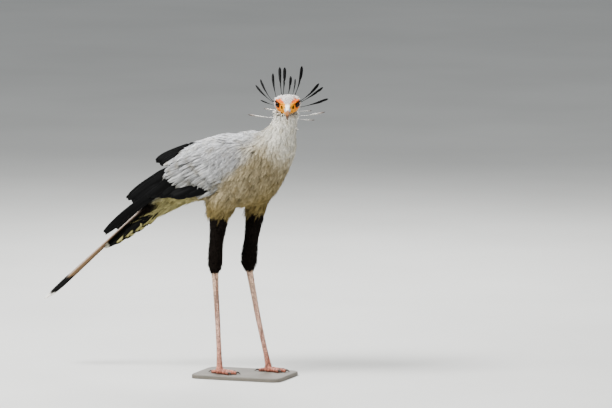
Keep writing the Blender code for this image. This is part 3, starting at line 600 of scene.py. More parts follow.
def quill_material(name, stops, roughness):
    """Flight feather of keratin: smooth barbs with a low satin sheen, the shaft slightly raised and pale, and
    a thin line of painted sheen along each edge.
    """
    made, tree, shader = new_material(name)
    blade = add(tree, "ShaderNodeUVMap", uv_map="blade")
    parts = add(tree, "ShaderNodeSeparateXYZ", {"Vector": blade})
    shade = add(tree, "ShaderNodeAttribute", attribute_name="shade").outputs["Fac"]
    drawn_out = add(tree, "ShaderNodeMapping", {"Vector": blade, "Scale": QUILL_BLOTCHES})
    wobble = add(tree, "ShaderNodeTexNoise", {"Vector": drawn_out, "Scale": 1.0, "Detail": 3.0})
    centred = add(tree, "ShaderNodeMath", {0: wobble, 1: 0.5}, operation="SUBTRACT")
    shift = add(tree, "ShaderNodeMath", {0: centred, 1: 0.05}, operation="MULTIPLY")
    place = add(tree, "ShaderNodeMath", {0: parts.outputs["X"], 1: shift}, operation="ADD")
    slant = across_shaft(tree, parts)
    _, fine = barbs_of(tree, parts, slant, QUILL_BARBS)
    colour = tinted(
        tree,
        add(tree, "ShaderNodeValToRGB", {"Fac": place}, stops=stops),
        (0.7, fine, ((0.0, grey(0.82)), (1.0, grey(1.15)))),
        # A paler shaft, and a thin pale line of painted sheen along each edge.
        (1.0, slant, ((0.0, grey(2.2)), (0.035, grey(1.0)), (0.45, grey(1.0)), (0.49, grey(7.0)))),
    )
    each = add(tree, "ShaderNodeMath", {0: shade, 1: 0.5, 2: 0.75}, operation="MULTIPLY_ADD")
    bright = add(tree, "ShaderNodeVectorMath", {0: colour, "Scale": each}, operation="SCALE")
    raised = add(tree, "ShaderNodeBump", {"Height": fine, "Strength": 0.25, "Distance": 0.0004})
    plug(tree, shader, {"Base Color": bright, "Normal": raised})
    plug(tree, shader, {"Roughness": roughness, "Specular IOR Level": 0.045})
    return made


def tail_material():
    """Tail feathers of keratin: bands and blotches broken by fine slanted barbs, with a pale shaft."""
    made, tree, shader = new_material("tail_quills")
    tint = add(tree, "ShaderNodeAttribute", attribute_name="paint")
    blade = add(tree, "ShaderNodeUVMap", uv_map="blade")
    parts = add(tree, "ShaderNodeSeparateXYZ", {"Vector": blade})
    slant = across_shaft(tree, parts)
    wave, fine = barbs_of(tree, parts, slant, TAIL_BARBS)
    colour = tinted(
        tree,
        tint,
        (0.8, fine, ((0.0, grey(0.72)), (1.0, grey(1.22)))),
        (1.0, slant, ((0.0, grey(1.5)), (0.03, grey(1.0)))),
    )
    raised = add(tree, "ShaderNodeBump", {"Height": wave, "Strength": 0.2, "Distance": 0.0003})
    plug(tree, shader, {"Base Color": colour, "Normal": raised})
    plug(tree, shader, {"Roughness": 0.55, "Specular IOR Level": 0.05})
    return made


def face_material():
    """Bare facial skin: thin, waxy and finely wrinkled, orange round the eye and yellow by the bill."""
    made, tree, shader = new_material("bare_face_skin")
    tint = add(tree, "ShaderNodeAttribute", attribute_name="paint")
    place = add(tree, "ShaderNodeTexCoord").outputs["Object"]
    grains = add(tree, "ShaderNodeTexVoronoi", {"Vector": place, "Scale": cells(1.43)})
    folds = add(tree, "ShaderNodeTexNoise", {"Vector": place, "Scale": cells(4.76), "Detail": 4.0})
    colour = tinted(tree, tint, (0.65, folds, ((0.32, (0.72, 0.50, 0.30)), (0.66, grey(1.12)))))
    relief = add(tree, "ShaderNodeMix", {0: 0.5, 6: grains, 7: folds}, data_type="RGBA", blend_type="MIX")
    raised = add(tree, "ShaderNodeBump", {"Height": relief, "Strength": 0.5, "Distance": 0.0006})
    plug(tree, shader, {"Base Color": colour, "Normal": raised})
    plug(tree, shader, {"Roughness": 0.55, "Specular IOR Level": 0.04})
    return made


def bill_material():
    """Bill of horn: a yellow waxy cere, a pale ridge with a painted highlight along its top, blue-grey sides,
    and a brown hooked tip.
    """
    made, tree, shader = new_material("bill_horn")
    tint = add(tree, "ShaderNodeAttribute", attribute_name="paint")
    place = add(tree, "ShaderNodeTexCoord").outputs["Object"]
    grain = add(tree, "ShaderNodeTexNoise", {"Vector": place, "Scale": cells(3.1), "Detail": 3.0})
    colour = tinted(tree, tint, (0.5, grain, ((0.3, grey(0.78)), (0.7, grey(1.1)))))
    raised = add(tree, "ShaderNodeBump", {"Height": grain, "Strength": 0.12, "Distance": 0.0004})
    plug(tree, shader, {"Base Color": colour, "Roughness": 0.32, "Coat Weight": 0.15, "Normal": raised})
    return made


IRIS_STOPS = (
    (0.0, grey(0.001)),
    (0.19, grey(0.001)),
    (0.205, linear("#26160A")),
    (0.29, linear("#3A2210")),
    (0.335, linear("#140B06")),
    (0.36, linear("#080504")),
)
IRIS_SPOKES = (3.0, 60.0, 1.0)


def eye_material():
    """Eye: wet clear front over a dark brown iris, a black pupil and a dark rim."""
    made, tree, shader = new_material("wet_eye")
    radial = add(tree, "ShaderNodeUVMap", uv_map="iris")
    parts = add(tree, "ShaderNodeSeparateXYZ", {"Vector": radial})
    rings = add(tree, "ShaderNodeValToRGB", {"Fac": parts.outputs["X"]}, stops=IRIS_STOPS)
    rays = add(tree, "ShaderNodeMapping", {"Vector": radial, "Scale": IRIS_SPOKES})
    spokes = add(tree, "ShaderNodeTexNoise", {"Vector": rays, "Scale": 1.0})
    colour = tinted(tree, rings, (0.6, spokes, ((0.35, grey(0.6)), (0.65, grey(1.2)))))
    plug(tree, shader, {"Base Color": colour, "Roughness": 0.12, "Specular IOR Level": 0.10,
                        "Coat Weight": 0.08, "Coat Roughness": 0.03})
    return made


# The height in metres over which the legs' tints spread.
LEG_TINTS_TOP = 0.345
LEG_STOPS = (
    (0.0, linear("#C06A52")),
    (0.14, linear("#C9866E")),
    (0.40, linear("#CFA18C")),
    (1.0, linear("#CFAE92")),
)
LEG_GRIME = (cells(6.7), cells(6.7), cells(111.0))


def leg_material():
    """Scaled leg skin: dry horny plates, pale pink, dirtier in the joints, ruddier at the toes."""
    made, tree, shader = new_material("scaled_leg_skin")
    place = add(tree, "ShaderNodeTexCoord").outputs["Object"]
    parts = add(tree, "ShaderNodeSeparateXYZ", {"Vector": place})
    height = add(tree, "ShaderNodeMath", {0: parts.outputs["Z"], 1: 1 / LEG_TINTS_TOP}, operation="MULTIPLY")
    scales = {"Vector": place, "Scale": cells(4.2)}
    edge = add(tree, "ShaderNodeTexVoronoi", scales, feature="DISTANCE_TO_EDGE")
    dust = add(tree, "ShaderNodeTexNoise", {"Vector": place, "Scale": cells(10.5), "Detail": 5.0})
    drawn_out = add(tree, "ShaderNodeMapping", {"Vector": place, "Scale": LEG_GRIME})
    grime = add(tree, "ShaderNodeTexNoise", {"Vector": drawn_out, "Scale": 1.0, "Detail": 2.0})
    colour = tinted(
        tree,
        add(tree, "ShaderNodeValToRGB", {"Fac": height}, stops=LEG_STOPS),
        (0.9, edge, ((0.0, linear("#3A2018")), (0.26, grey(1.42)))),
        (0.8, dust, ((0.32, grey(0.52)), (0.62, grey(1.20)))),
        (0.8, grime, ((0.36, linear("#8A6248")), (0.50, grey(1.0)))),
    )
    plates = add(tree, "ShaderNodeValToRGB", {"Fac": edge}, stops=((0.0, grey(0.0)), (0.2, grey(1.0))))
    raised = add(tree, "ShaderNodeBump", {"Height": plates, "Strength": 0.5, "Distance": 0.0005})
    plug(tree, shader, {"Base Color": colour, "Roughness": 0.6, "Subsurface Weight": 0.05,
                        "Subsurface Radius": (0.003, 0.001, 0.0005), "Normal": raised})
    return made


def claw_material():
    """Claw horn: dark, dense and polished by the ground, paler scratches along it."""
    made, tree, shader = new_material("claw_horn")
    place = add(tree, "ShaderNodeTexCoord").outputs["Object"]
    scratch = add(tree, "ShaderNodeTexNoise", {"Vector": place, "Scale": cells(2.4), "Detail": 5.0})
    worn = ((0.3, linear("#17130F")), (0.7, linear("#4A4036")))
    colour = add(tree, "ShaderNodeValToRGB", {"Fac": scratch}, stops=worn)
    raised = add(tree, "ShaderNodeBump", {"Height": scratch, "Strength": 0.15, "Distance": 0.0003})
    plug(tree, shader, {"Base Color": colour, "Roughness": 0.35, "Normal": raised})
    return made


def floor_material():
    """Matt painted studio floor, very slightly uneven in tone."""
    made, tree, shader = new_material("studio_floor_paint")
    place = add(tree, "ShaderNodeTexCoord").outputs["Object"]
    cloud = add(tree, "ShaderNodeTexNoise", {"Vector": place, "Scale": cells(833.3), "Detail": 3.0})
    tones = ((0.3, linear("#CBCBC7")), (0.7, linear("#D3D3CF")))
    colour = add(tree, "ShaderNodeValToRGB", {"Fac": cloud}, stops=tones)
    plug(tree, shader, {"Base Color": colour, "Roughness": 0.9})
    return made


BRUSH_MARKS = (cells(71.4), cells(2.38), cells(11.1))


def stand_material():
    """Base of painted wood: matt grey-brown paint with brush marks and a few worn specks."""
    made, tree, shader = new_material("painted_wood")
    place = add(tree, "ShaderNodeTexCoord").outputs["Object"]
    drawn_out = add(tree, "ShaderNodeMapping", {"Vector": place, "Scale": BRUSH_MARKS})
    brush = add(tree, "ShaderNodeTexNoise", {"Vector": drawn_out, "Scale": 1.0, "Detail": 3.0})
    wear = add(tree, "ShaderNodeTexNoise", {"Vector": place, "Scale": cells(6.25), "Detail": 5.0})
    tones = ((0.30, linear("#57534B")), (0.70, linear("#655F55")))
    paint = add(tree, "ShaderNodeValToRGB", {"Fac": brush}, stops=tones)
    worn = add(tree, "ShaderNodeValToRGB", {"Fac": wear}, stops=((0.66, grey(0.0)), (0.72, grey(0.45))))
    colour = add(tree, "ShaderNodeMix", {0: worn, 6: paint, 7: linear("#A08C6C")},
                 data_type="RGBA", blend_type="MIX")
    raised = add(tree, "ShaderNodeBump", {"Height": brush, "Strength": 0.25, "Distance": 0.0003})
    plug(tree, shader, {"Base Color": colour, "Roughness": 0.62, "Normal": raised})
    return made


MATERIALS = {}


def material(name, maker, *args):
    """The material of this name, made once."""
    if name not in MATERIALS:
        MATERIALS[name] = maker(*args)
    return MATERIALS[name]


# Markings: one function gives the colour of skin and coat alike.
PALETTE = {
    # Grey with painted light from above, for the back's top.
    "lit_grey": "#DADBDC",
    "grey": "#A2A2A2",
    # Grey in painted shade, for the lower sides and the coverts' lower edges.
    "shaded_grey": "#80807C",
    "pale": "#D8D4C6",
    "stone": "#B8B09C",
    # Underparts: buff, belly and cream darkened by painted shade, the cream also greened by a painted bounce
    # light.
    "shaded_buff": "#95886A",
    "shaded_belly": "#776840",
    "cream": "#989060",
    "black": "#120E0B",
}

# A point of the edge where grey wing cover meets the buff flank, and the direction across that edge.
FLANK_EDGE = (0.0226, 0.6800, 0.674, 0.739)


def plain(code, count):
    """One colour for all of count points."""
    return np.tile(linear(code), (count, 1))


def blend(colour, other, share):
    """Colours at points, turned by share towards another, given as a hex code or for each point."""
    if isinstance(other, str):
        other = np.array(linear(other))
    return colour * (1 - share)[:, None] + other * share[:, None]


def markings(points):
    """Colour of the plumage at each point of the frame, from where it lies on the body."""
    p = np.asarray(points) - STANCE_ROW
    t, _, high, _ = body_place(p)
    x, z, rise, run = FLANK_EDGE
    past = (p[:, 0] - x) * rise - (p[:, 2] - z) * run
    flank = smoothstep(-0.012, 0.022, past) * smoothstep(0.45, 0.10, high)
    low = np.maximum(smoothstep(0.30, 0.70, -high), flank)
    fore = smoothstep(0.50, 0.64, t)
    colour = plain(PALETTE["grey"], len(p))
    for name, share in (
        # Painted light on the back's top and painted shade low on the sides.
        ("lit_grey", smoothstep(0.45, 0.95, high)),
        ("shaded_grey", smoothstep(0.20, -0.45, high)),
        ("stone", fore * smoothstep(0.75, 0.25, high)),
        ("pale", smoothstep(0.64, 0.80, t)),
        # The underparts' colours carry painted shade, the undertail's cream also a painted green bounce
        # light.
        ("shaded_buff", low * (1 - smoothstep(0.60, 0.74, t))),
        ("shaded_belly", smoothstep(0.45, 1.0, -high) * smoothstep(0.25, 0.34, t) * (1 - fore)),
        ("cream", (1 - smoothstep(0.20, 0.30, t)) * smoothstep(-0.15, 0.35, -high)),
        ("black", smoothstep(0.12, 0.07, t) * smoothstep(-0.62, -0.42, high)),
        ("black", smoothstep(0.524, 0.512, p[:, 2]) * on_leg(p)),
    ):
        colour = blend(colour, PALETTE[name], share)
    return colour


# How far a feathered leg's coat reaches from its middle, and the height below which the leg is free.
LEG_REACH = 0.042
LEG_ROOT = 0.56


def on_leg(p):
    """Whether points of the bird's own frame lie by one of the feathered legs."""
    near = np.zeros(len(p), bool)
    for side in ("R", "L"):
        rows = smooth_rows(TROUSERS[side], 60)
        k = np.argmin(np.abs(p[:, 2:3] - rows[None, :, 2]), axis=1)
        near |= np.hypot(p[:, 0] - rows[k, 0], p[:, 1] - rows[k, 1]) < LEG_REACH
    return near & (p[:, 2] < LEG_ROOT)


def lie_of(points, normals):
    """The way the coat lies at each point: back along the body, drooping on the flanks and legs."""
    p = np.asarray(points) - STANCE_ROW
    t, wide, high, along = body_place(p)
    down = np.array([0.0, 0.0, -1.0])
    droop = 0.25 + 0.75 * smoothstep(0.1, 0.9, -high) * smoothstep(0.28, 0.4, t)
    side = smoothstep(0.25, 0.8, np.abs(wide))
    droop = (droop + 0.45 * side * smoothstep(0.2, 0.3, t)) * smoothstep(0.12, 0.24, t)
    lie = -along + down * droop[:, None]
    leg = smoothstep(0.53, 0.50, p[:, 2]) * on_leg(p)
    lie = lie * (1 - leg)[:, None] + (down + np.array([-0.12, 0, 0])) * leg[:, None]
    lie -= normals * np.sum(lie * normals, axis=1)[:, None]
    return lie / np.maximum(np.linalg.norm(lie, axis=1), 1e-6)[:, None]


def set_colours(mesh, name, colours):
    layer = mesh.attributes.new(name, "FLOAT_COLOR", "POINT")
    data = np.ones((len(mesh.vertices), 4), np.float32)
    data[:, :3] = colours
    layer.data.foreach_set("color", data.ravel())


def set_floats(mesh, name, values):
    layer = mesh.attributes.new(name, "FLOAT", "POINT")
    layer.data.foreach_set("value", np.asarray(values, np.float32).ravel())


def set_vectors(mesh, name, values):
    layer = mesh.attributes.new(name, "FLOAT_VECTOR", "POINT")
    layer.data.foreach_set("vector", np.asarray(values, np.float32).ravel())


def mesh_points(mesh):
    out = np.empty(len(mesh.vertices) * 3, np.float32)
    mesh.vertices.foreach_get("co", out)
    return out.reshape(-1, 3).astype(float)


def mesh_normals(mesh):
    out = np.empty(len(mesh.vertices) * 3, np.float32)
    mesh.vertex_normals.foreach_get("vector", out)
    return out.reshape(-1, 3).astype(float)


def corner_points(mesh):
    """The point that each face corner lies on."""
    out = np.empty(len(mesh.loops), np.int32)
    mesh.loops.foreach_get("vertex_index", out)
    return out


def set_map(mesh, name, table):
    """Writes a map from a place on the sheet for each point."""
    layer = mesh.uv_layers.new(name=name)
    layer.data.foreach_set("uv", np.array(table, np.float32)[corner_points(mesh)].ravel())


def move_points(mesh, points):
    mesh.vertices.foreach_set("co", points.astype(np.float32).ravel())
    mesh.update()


def unwrap(mesh, turn, along):
    """Writes the OFBake map: around the form across the sheet, along it up the sheet, with no torn faces."""
    loops = corner_points(mesh)
    starts = np.empty(len(mesh.polygons), np.int32)
    mesh.polygons.foreach_get("loop_start", starts)
    totals = np.empty(len(mesh.polygons), np.int32)
    mesh.polygons.foreach_get("loop_total", totals)
    first = np.repeat(turn[loops[starts]], totals)
    near = first + (turn[loops] - first + 0.5) % 1.0 - 0.5
    layer = mesh.uv_layers.new(name="OFBake")
    uv = np.stack([0.04 + 0.92 * near, 0.02 + 0.96 * along[loops]], axis=1).astype(np.float32)
    layer.data.foreach_set("uv", uv.ravel())



# The coat's feathers: blades one long along X, which the plumage tree scales.
BLADE_SHAPES = 5
BLADE_SEED = 40
BLADE_KINDS = {
    "wispy": dict(columns=5, rows=2, branch=0.42, fray=0.22),
    "short": dict(columns=3, rows=2, branch=0.70, fray=0.12),
}


def soft_blade(name, seed, columns, rows, branch, fray):
    """A small body feather, whole up to branch, whose tip parts into pointed strands."""
    rng = np.random.default_rng(seed)
    points, faces, uvs = [], [], []
    for x in np.linspace(0, branch, rows + 1):
        width = 0.5 * (0.30 + 0.70 * math.sin(min(x / branch * 1.9, math.pi / 2)))
        for j in range(columns + 1):
            y = 2 * j / columns - 1
            points.append((x, y * width, 0.10 * math.sin(math.pi * x) - 0.10 * y * y * width))
            uvs.append((x, 0.5 + 0.5 * y))
    for k in range(rows):
        for j in range(columns):
            a = k * (columns + 1) + j
            faces.append((a, a + 1, a + columns + 2, a + columns + 1))
    last = rows * (columns + 1)
    for j in range(columns):
        a, b = points[last + j], points[last + j + 1]
        y = (j + 0.5) / columns * 2 - 1
        far = (1 - 0.30 * abs(y) ** 1.6) * (1 + fray * rng.uniform(-1, 1))
        middle = (a[1] + b[1]) / 2
        tip_y = middle * (1.0 + 0.35 * rng.uniform(-0.4, 1)) + fray * 0.12 * rng.uniform(-1, 1)
        mid_x = branch + (far - branch) * 0.55
        mid_y = middle * 0.4 + tip_y * 0.6
        wide = abs(b[1] - a[1]) * 0.30
        lift = 0.05 * rng.uniform(-0.6, 1)
        n = len(points)
        points.append((mid_x, mid_y - wide, 0.06 + lift * 0.5))
        points.append((mid_x, mid_y + wide, 0.06 + lift * 0.5))
        points.append((far, tip_y, lift))
        v = 0.5 + 0.5 * y
        uvs += [(mid_x, v), (mid_x, v), (min(far, 1.0), v)]
        faces.append((last + j, last + j + 1, n + 1, n))
        faces.append((n, n + 1, n + 2))
    mesh = mesh_of(name, points, faces)
    set_map(mesh, "blade", uvs)
    mesh.shade_smooth()
    return mesh


def blade_collection(kind):
    """A collection of blades of one kind, for the plumage tree to pick from."""
    group = bpy.data.collections.new("blades_" + kind)
    for k in range(BLADE_SHAPES):
        mesh = soft_blade("blade_%s_%d" % (kind, k), BLADE_SEED + k, **BLADE_KINDS[kind])
        group.objects.link(bpy.data.objects.new(mesh.name, mesh))
    return group


# A tuft's share of the baking sheet, and how many roots are tried for each square of the spacing.
BAKE_PATCH = 0.003
ROOTS_TRIED = 1.3
COAT_INPUTS = (
    ("Spacing", "NodeSocketFloat"),
    ("Crowding", "NodeSocketFloat"),
    ("Lift", "NodeSocketFloat"),
    ("Unruly", "NodeSocketFloat"),
    ("Seed", "NodeSocketInt"),
    ("Blades", "NodeSocketCollection"),
    ("Finish", "NodeSocketMaterial"),
)
COAT_FIELDS = (
    ("keep", "FLOAT"),
    ("length", "FLOAT"),
    ("width", "FLOAT"),
    ("lie", "FLOAT_VECTOR"),
    ("blade", "FLOAT_VECTOR"),
    ("OFBake", "FLOAT_VECTOR"),
)
COAT_DRAWS = (
    ("away", -1.0, 1.0, 11),
    ("roll", -1.0, 1.0, 12),
    ("tilt", 0.4, 1.6, 13),
    ("length", 0.8, 1.22, 14),
    ("width", 0.8, 1.25, 15),
    ("shade", 0.0, 1.0, 16),
)


def coat_tree():
    """The plumage tree: points spread on a skin, a blade on each laid along 'lie', realized as one mesh."""
    tree = bpy.data.node_groups.new("Plumage", "GeometryNodeTree")
    tree.interface.new_socket(name="Geometry", in_out="OUTPUT", socket_type="NodeSocketGeometry")
    tree.interface.new_socket(name="Skin", in_out="INPUT", socket_type="NodeSocketGeometry")
    for name, kind in COAT_INPUTS:
        tree.interface.new_socket(name=name, in_out="INPUT", socket_type=kind)
    given = add(tree, "NodeGroupInput").outputs
    field, drawn = {}, {}
    for name, kind in COAT_FIELDS:
        read = add(tree, "GeometryNodeInputNamedAttribute", {"Name": name}, data_type=kind)
        field[name] = read.outputs["Attribute"]
    for name, low, high, offset in COAT_DRAWS:
        seed = add(tree, "ShaderNodeMath", {0: given["Seed"], 1: offset}, operation="ADD")
        number = add(tree, "FunctionNodeRandomValue", {2: low, 3: high, "Seed": seed}, data_type="FLOAT")
        drawn[name] = number.outputs[1]
    scaled = {}
    for name, first, second in (
        ("away", drawn["away"], given["Unruly"]),
        ("roll", drawn["roll"], given["Unruly"]),
        ("tilt", drawn["tilt"], given["Lift"]),
        ("length", field["length"], drawn["length"]),
        ("width", field["width"], drawn["width"]),
    ):
        scaled[name] = add(tree, "ShaderNodeMath", {0: first, 1: second}, operation="MULTIPLY")
    spread = add(
        tree,
        "GeometryNodeDistributePointsOnFaces",
        {"Mesh": given["Skin"], "Distance Min": given["Spacing"], "Density Max": given["Crowding"],
         "Density Factor": field["keep"], "Seed": given["Seed"]},
        distribute_method="POISSON",
    ).outputs
    stand = add(tree, "FunctionNodeAlignRotationToVector", {"Vector": spread["Normal"]},
                axis="Z", pivot_axis="AUTO")
    laid = add(tree, "FunctionNodeAlignRotationToVector", {"Rotation": stand, "Vector": field["lie"]},
               axis="X", pivot_axis="Z")
    pitch = add(tree, "ShaderNodeMath", {0: scaled["tilt"], 1: -1.0}, operation="MULTIPLY")
    turn = add(tree, "ShaderNodeCombineXYZ", {"X": scaled["roll"], "Y": pitch, "Z": scaled["away"]})
    turn = add(tree, "FunctionNodeEulerToRotation", {"Euler": turn})
    turned = add(tree, "FunctionNodeRotateRotation", {"Rotation": laid, "Rotate By": turn},
                 rotation_space="LOCAL")
    size = add(tree, "ShaderNodeCombineXYZ",
               {"X": scaled["length"], "Y": scaled["width"], "Z": scaled["length"]})
    blades = add(tree, "GeometryNodeCollectionInfo",
                 {"Collection": given["Blades"], "Separate Children": True, "Reset Children": True})
    pick = add(tree, "FunctionNodeRandomValue", {4: 0, 5: BLADE_SHAPES - 1, "Seed": given["Seed"]},
               data_type="INT")
    placed = add(
        tree,
        "GeometryNodeInstanceOnPoints",
        {"Points": spread["Points"], "Instance": blades, "Pick Instance": True,
         "Instance Index": pick.outputs[2], "Rotation": turned, "Scale": size},
    )
    shaded = add(
        tree,
        "GeometryNodeStoreNamedAttribute",
        {"Geometry": placed, "Name": "shade", "Value": drawn["shade"]},
        data_type="FLOAT",
        domain="INSTANCE",
    )
    real = add(tree, "GeometryNodeRealizeInstances", {"Geometry": shaded})
    patch = add(tree, "ShaderNodeVectorMath", {0: field["blade"], "Scale": BAKE_PATCH}, operation="SCALE")
    spot = add(tree, "ShaderNodeVectorMath", {0: field["OFBake"], 1: patch}, operation="ADD")
    mapped = add(
        tree,
        "GeometryNodeStoreNamedAttribute",
        {"Geometry": real, "Name": "OFBake", "Value": spot},
        data_type="FLOAT2",
        domain="CORNER",
    )
    done = add(tree, "GeometryNodeSetMaterial", {"Geometry": mapped, "Material": given["Finish"]})
    add(tree, "NodeGroupOutput", {"Geometry": done})
    return tree


def grow_coat(name, skin, given, blades, finish, spacing, lift, unruly, seed):
    """Grows one coat piece on a copy of the skin; given holds keep, length, width and lie at its points."""
    mesh = skin.data.copy()
    for key in ("keep", "length", "width"):
        set_floats(mesh, key, given[key])
    set_vectors(mesh, "lie", given["lie"])
    obj = piece_of(name, mesh, smooth=False)
    tree = bpy.data.node_groups.get("Plumage") or coat_tree()
    modifier = obj.modifiers.new("Plumage", "NODES")
    modifier.node_group = tree
    values = {
        "Spacing": spacing,
        "Crowding": ROOTS_TRIED / spacing**2,
        "Lift": math.radians(lift),
        "Unruly": math.radians(unruly),
        "Seed": seed,
        "Blades": blades,
        "Finish": finish,
    }
    for item in tree.interface.items_tree:
        if item.item_type == "SOCKET" and item.in_out == "INPUT" and item.name in values:
            modifier[item.identifier] = values[item.name]
    grown = baked(obj)
    drop(obj)
    for extra in ("keep", "length", "width", "lie"):
        layer = grown.attributes.get(extra)
        if layer is not None:
            grown.attributes.remove(layer)
    grown.name = name
    return piece_of(name, grown, smooth=False)


# Single large feathers: flight, tail and crest.
def quill(path, widths, normals, camber, thick, columns, splits, rng):
    """Points, faces and blade map of one closed feather: cambered vanes, raised shaft, parted edges."""
    count = len(path)
    tops, lows, uvs = [], [], []
    notch = np.ones((count, 2))
    for _ in range(splits):
        k = rng.integers(int(count * 0.35), count - 1)
        notch[k, rng.integers(0, 2)] *= rng.uniform(0.45, 0.8)
    for k in range(count):
        ahead = path[min(k + 1, count - 1)] - path[max(k - 1, 0)]
        ahead = ahead / max(np.linalg.norm(ahead), 1e-9)
        across = np.cross(normals[k], ahead)
        across /= max(np.linalg.norm(across), 1e-9)
        up = np.cross(ahead, across)
        for j in range(columns + 1):
            y = 2 * j / columns - 1
            edge = notch[k, 0 if y < 0 else 1] if abs(y) > 0.75 else 1.0
            reach = y * widths[k] / 2 * edge
            rise = -camber * widths[k] * y * y + (thick * 0.9 if abs(y) < 1e-6 else 0.0)
            at = path[k] + across * reach + up * rise
            wall = thick * (0.5 if abs(y) < 0.99 else 0.18)
            tops.append(at + up * wall)
            lows.append(at - up * wall)
            uvs.append((k / (count - 1), 0.5 + 0.5 * y))
    points = tops + lows
    base = len(tops)
    wide = columns + 1
    faces = []
    for k in range(count - 1):
        for j in range(columns):
            a = k * wide + j
            faces.append((a, a + 1, a + wide + 1, a + wide))
            faces.append((base + a, base + a + wide, base + a + wide + 1, base + a + 1))
        for j in (0, columns):
            a = k * wide + j
            quad = (a, a + wide, base + a + wide, base + a)
            faces.append(quad if j == 0 else quad[::-1])
    for k in (0, count - 1):
        for j in range(columns):
            a = k * wide + j
            quad = (a, base + a, base + a + 1, a + 1)
            faces.append(quad if k == 0 else quad[::-1])
    return points, faces, uvs + uvs


def quills_piece(name, feathers, finish, paint=None):
    """One piece of many large feathers; each gets a tone and a strip of the sheet, and paint its colours."""
    points, faces, uvs, shades, places = [], [], [], [], []
    strips = int(math.ceil(math.sqrt(len(feathers))))
    for n, (p, f, uv, shade) in enumerate(feathers):
        base = len(points)
        points += [tuple(q) for q in p]
        faces += [tuple(i + base for i in face) for face in f]
        uvs += uv
        shades += [shade] * len(p)
        col, row = n % strips, n // strips
        places += [((col + 0.03 + 0.94 * u) / strips, (row + 0.03 + 0.94 * v) / strips) for u, v in uv]
    mesh = mesh_of(name, points, faces)
    bm = bmesh.new()
    bm.from_mesh(mesh)
    bmesh.ops.recalc_face_normals(bm, faces=bm.faces)
    bm.to_mesh(mesh)
    bm.free()
    set_map(mesh, "blade", uvs)
    set_map(mesh, "OFBake", places)
    set_floats(mesh, "shade", shades)
    if paint is not None:
        set_colours(mesh, "paint", paint)
    return piece_of(name, mesh, finish)


def blade_profile(t, root, full, tip):
    """Share of a feather's width: widening from its root up to full, rounded off past tip."""
    grow = root + (1 - root) * np.clip(t / full, 0, 1) ** 0.7
    fade = np.sqrt(np.clip(1 - (np.clip((t - tip) / (1 - tip), 0, 1)) ** 2, 0.05, 1))
    return grow * fade


def laid_path(root, tip, side, stand_root, stand_tip, lift, steps, bow):
    """A feather's line over the body: on the body where that is wider than the straight line."""
    path, normals = [], []
    for k in range(steps + 1):
        t = k / steps
        at = root.lerp(tip, t) + Vector((0, 0, bow * (tip - root).length * (t - t * t)))
        body, out = body_side(at.x, at.z)
        laid = body + stand_root + (stand_tip - stand_root) * t
        free = max(0.0, min(1.0, (at.y - body) / 0.025))
        out = out.lerp(Vector((0.0, 0.94, 0.34)), free).normalized()
        at.y = max(at.y, laid)
        at += out * (lift * (0.3 + 0.7 * t))
        path.append(np.array((at.x, side * at.y, at.z)) + STANCE_ROW)
        normals.append(np.array((out.x, side * out.y, out.z)))
    smooth = [path[0]]
    for k in range(1, steps):
        smooth.append((path[k - 1] + 2 * path[k] + path[k + 1]) / 4)
    smooth.append(path[-1])
    return smooth, normals


# Wing tiers, finer than the solids': count, first root and tip, last root and tip, width, stand-off, bow.
QUILL_TIERS = (
    (8, (-0.150, 0.066, 0.640), (-0.450, 0.048, 0.435),
     (-0.145, 0.074, 0.632), (-0.447, 0.056, 0.430), 0.021, 0.000, 0.002, 0.19),
    (7, (-0.150, 0.040, 0.692), (-0.379, 0.030, 0.543),
     (-0.140, 0.060, 0.668), (-0.354, 0.045, 0.531), 0.030, 0.000, 0.006, 0.05),
    (12, (-0.120, 0.070, 0.680), (-0.296, 0.062, 0.552),
     (-0.040, 0.085, 0.605), (-0.190, 0.090, 0.560), 0.031, 0.002, 0.008, 0.05),
    (7, (-0.140, 0.022, 0.724), (-0.285, 0.014, 0.662),
     (-0.130, 0.044, 0.706), (-0.264, 0.030, 0.652), 0.027, 0.004, 0.009, 0.09),
)
COVERT_TIERS = (
    (26, (-0.110, 0.050, 0.712), (-0.249, 0.045, 0.650),
     (0.000, 0.080, 0.615), (-0.119, 0.088, 0.562), 0.0165, -0.003, 0.013, 0.05),
    (24, (-0.060, 0.050, 0.722), (-0.190, 0.055, 0.666),
     (0.025, 0.075, 0.640), (-0.080, 0.088, 0.584), 0.0150, -0.003, 0.015, 0.05),
    (20, (-0.030, 0.050, 0.722), (-0.140, 0.060, 0.688),
     (0.030, 0.075, 0.662), (-0.056, 0.088, 0.612), 0.0140, -0.003, 0.016, 0.05),
)


def tier_feathers(tiers, side, rng, columns, splits, thick, stray=0.003, tip_from=0.72, bulge=0.0):
    """Feathers of tiers on one wing, each laid between its tier's first and last."""
    out = []
    for count, root_a, tip_a, root_b, tip_b, width, stand_root, stand_tip, bow in tiers:
        for k in range(count):
            t = k / (count - 1)
            jitter = Vector(rng.uniform(-stray, stray, 3))
            root = Vector(root_a).lerp(Vector(root_b), t)
            tip = Vector(tip_a).lerp(Vector(tip_b), t) + jitter
            tip += Vector((-0.6, 0.0, -0.8)) * (bulge * math.sin(math.pi * t))
            lift = (0.0008 if count < 15 else 0.0004) * (count - 1 - k)
            path, normals = laid_path(root, tip, side, stand_root, stand_tip, lift, 14, bow)
            ts = np.linspace(0, 1, 15)
            widths = width * blade_profile(ts, 0.6, 0.3, tip_from)
            p, f, uv = quill(path, widths, normals, 0.05, thick, columns, splits, rng)
            out.append((p, f, uv, rng.uniform(0, 1)))
    return out


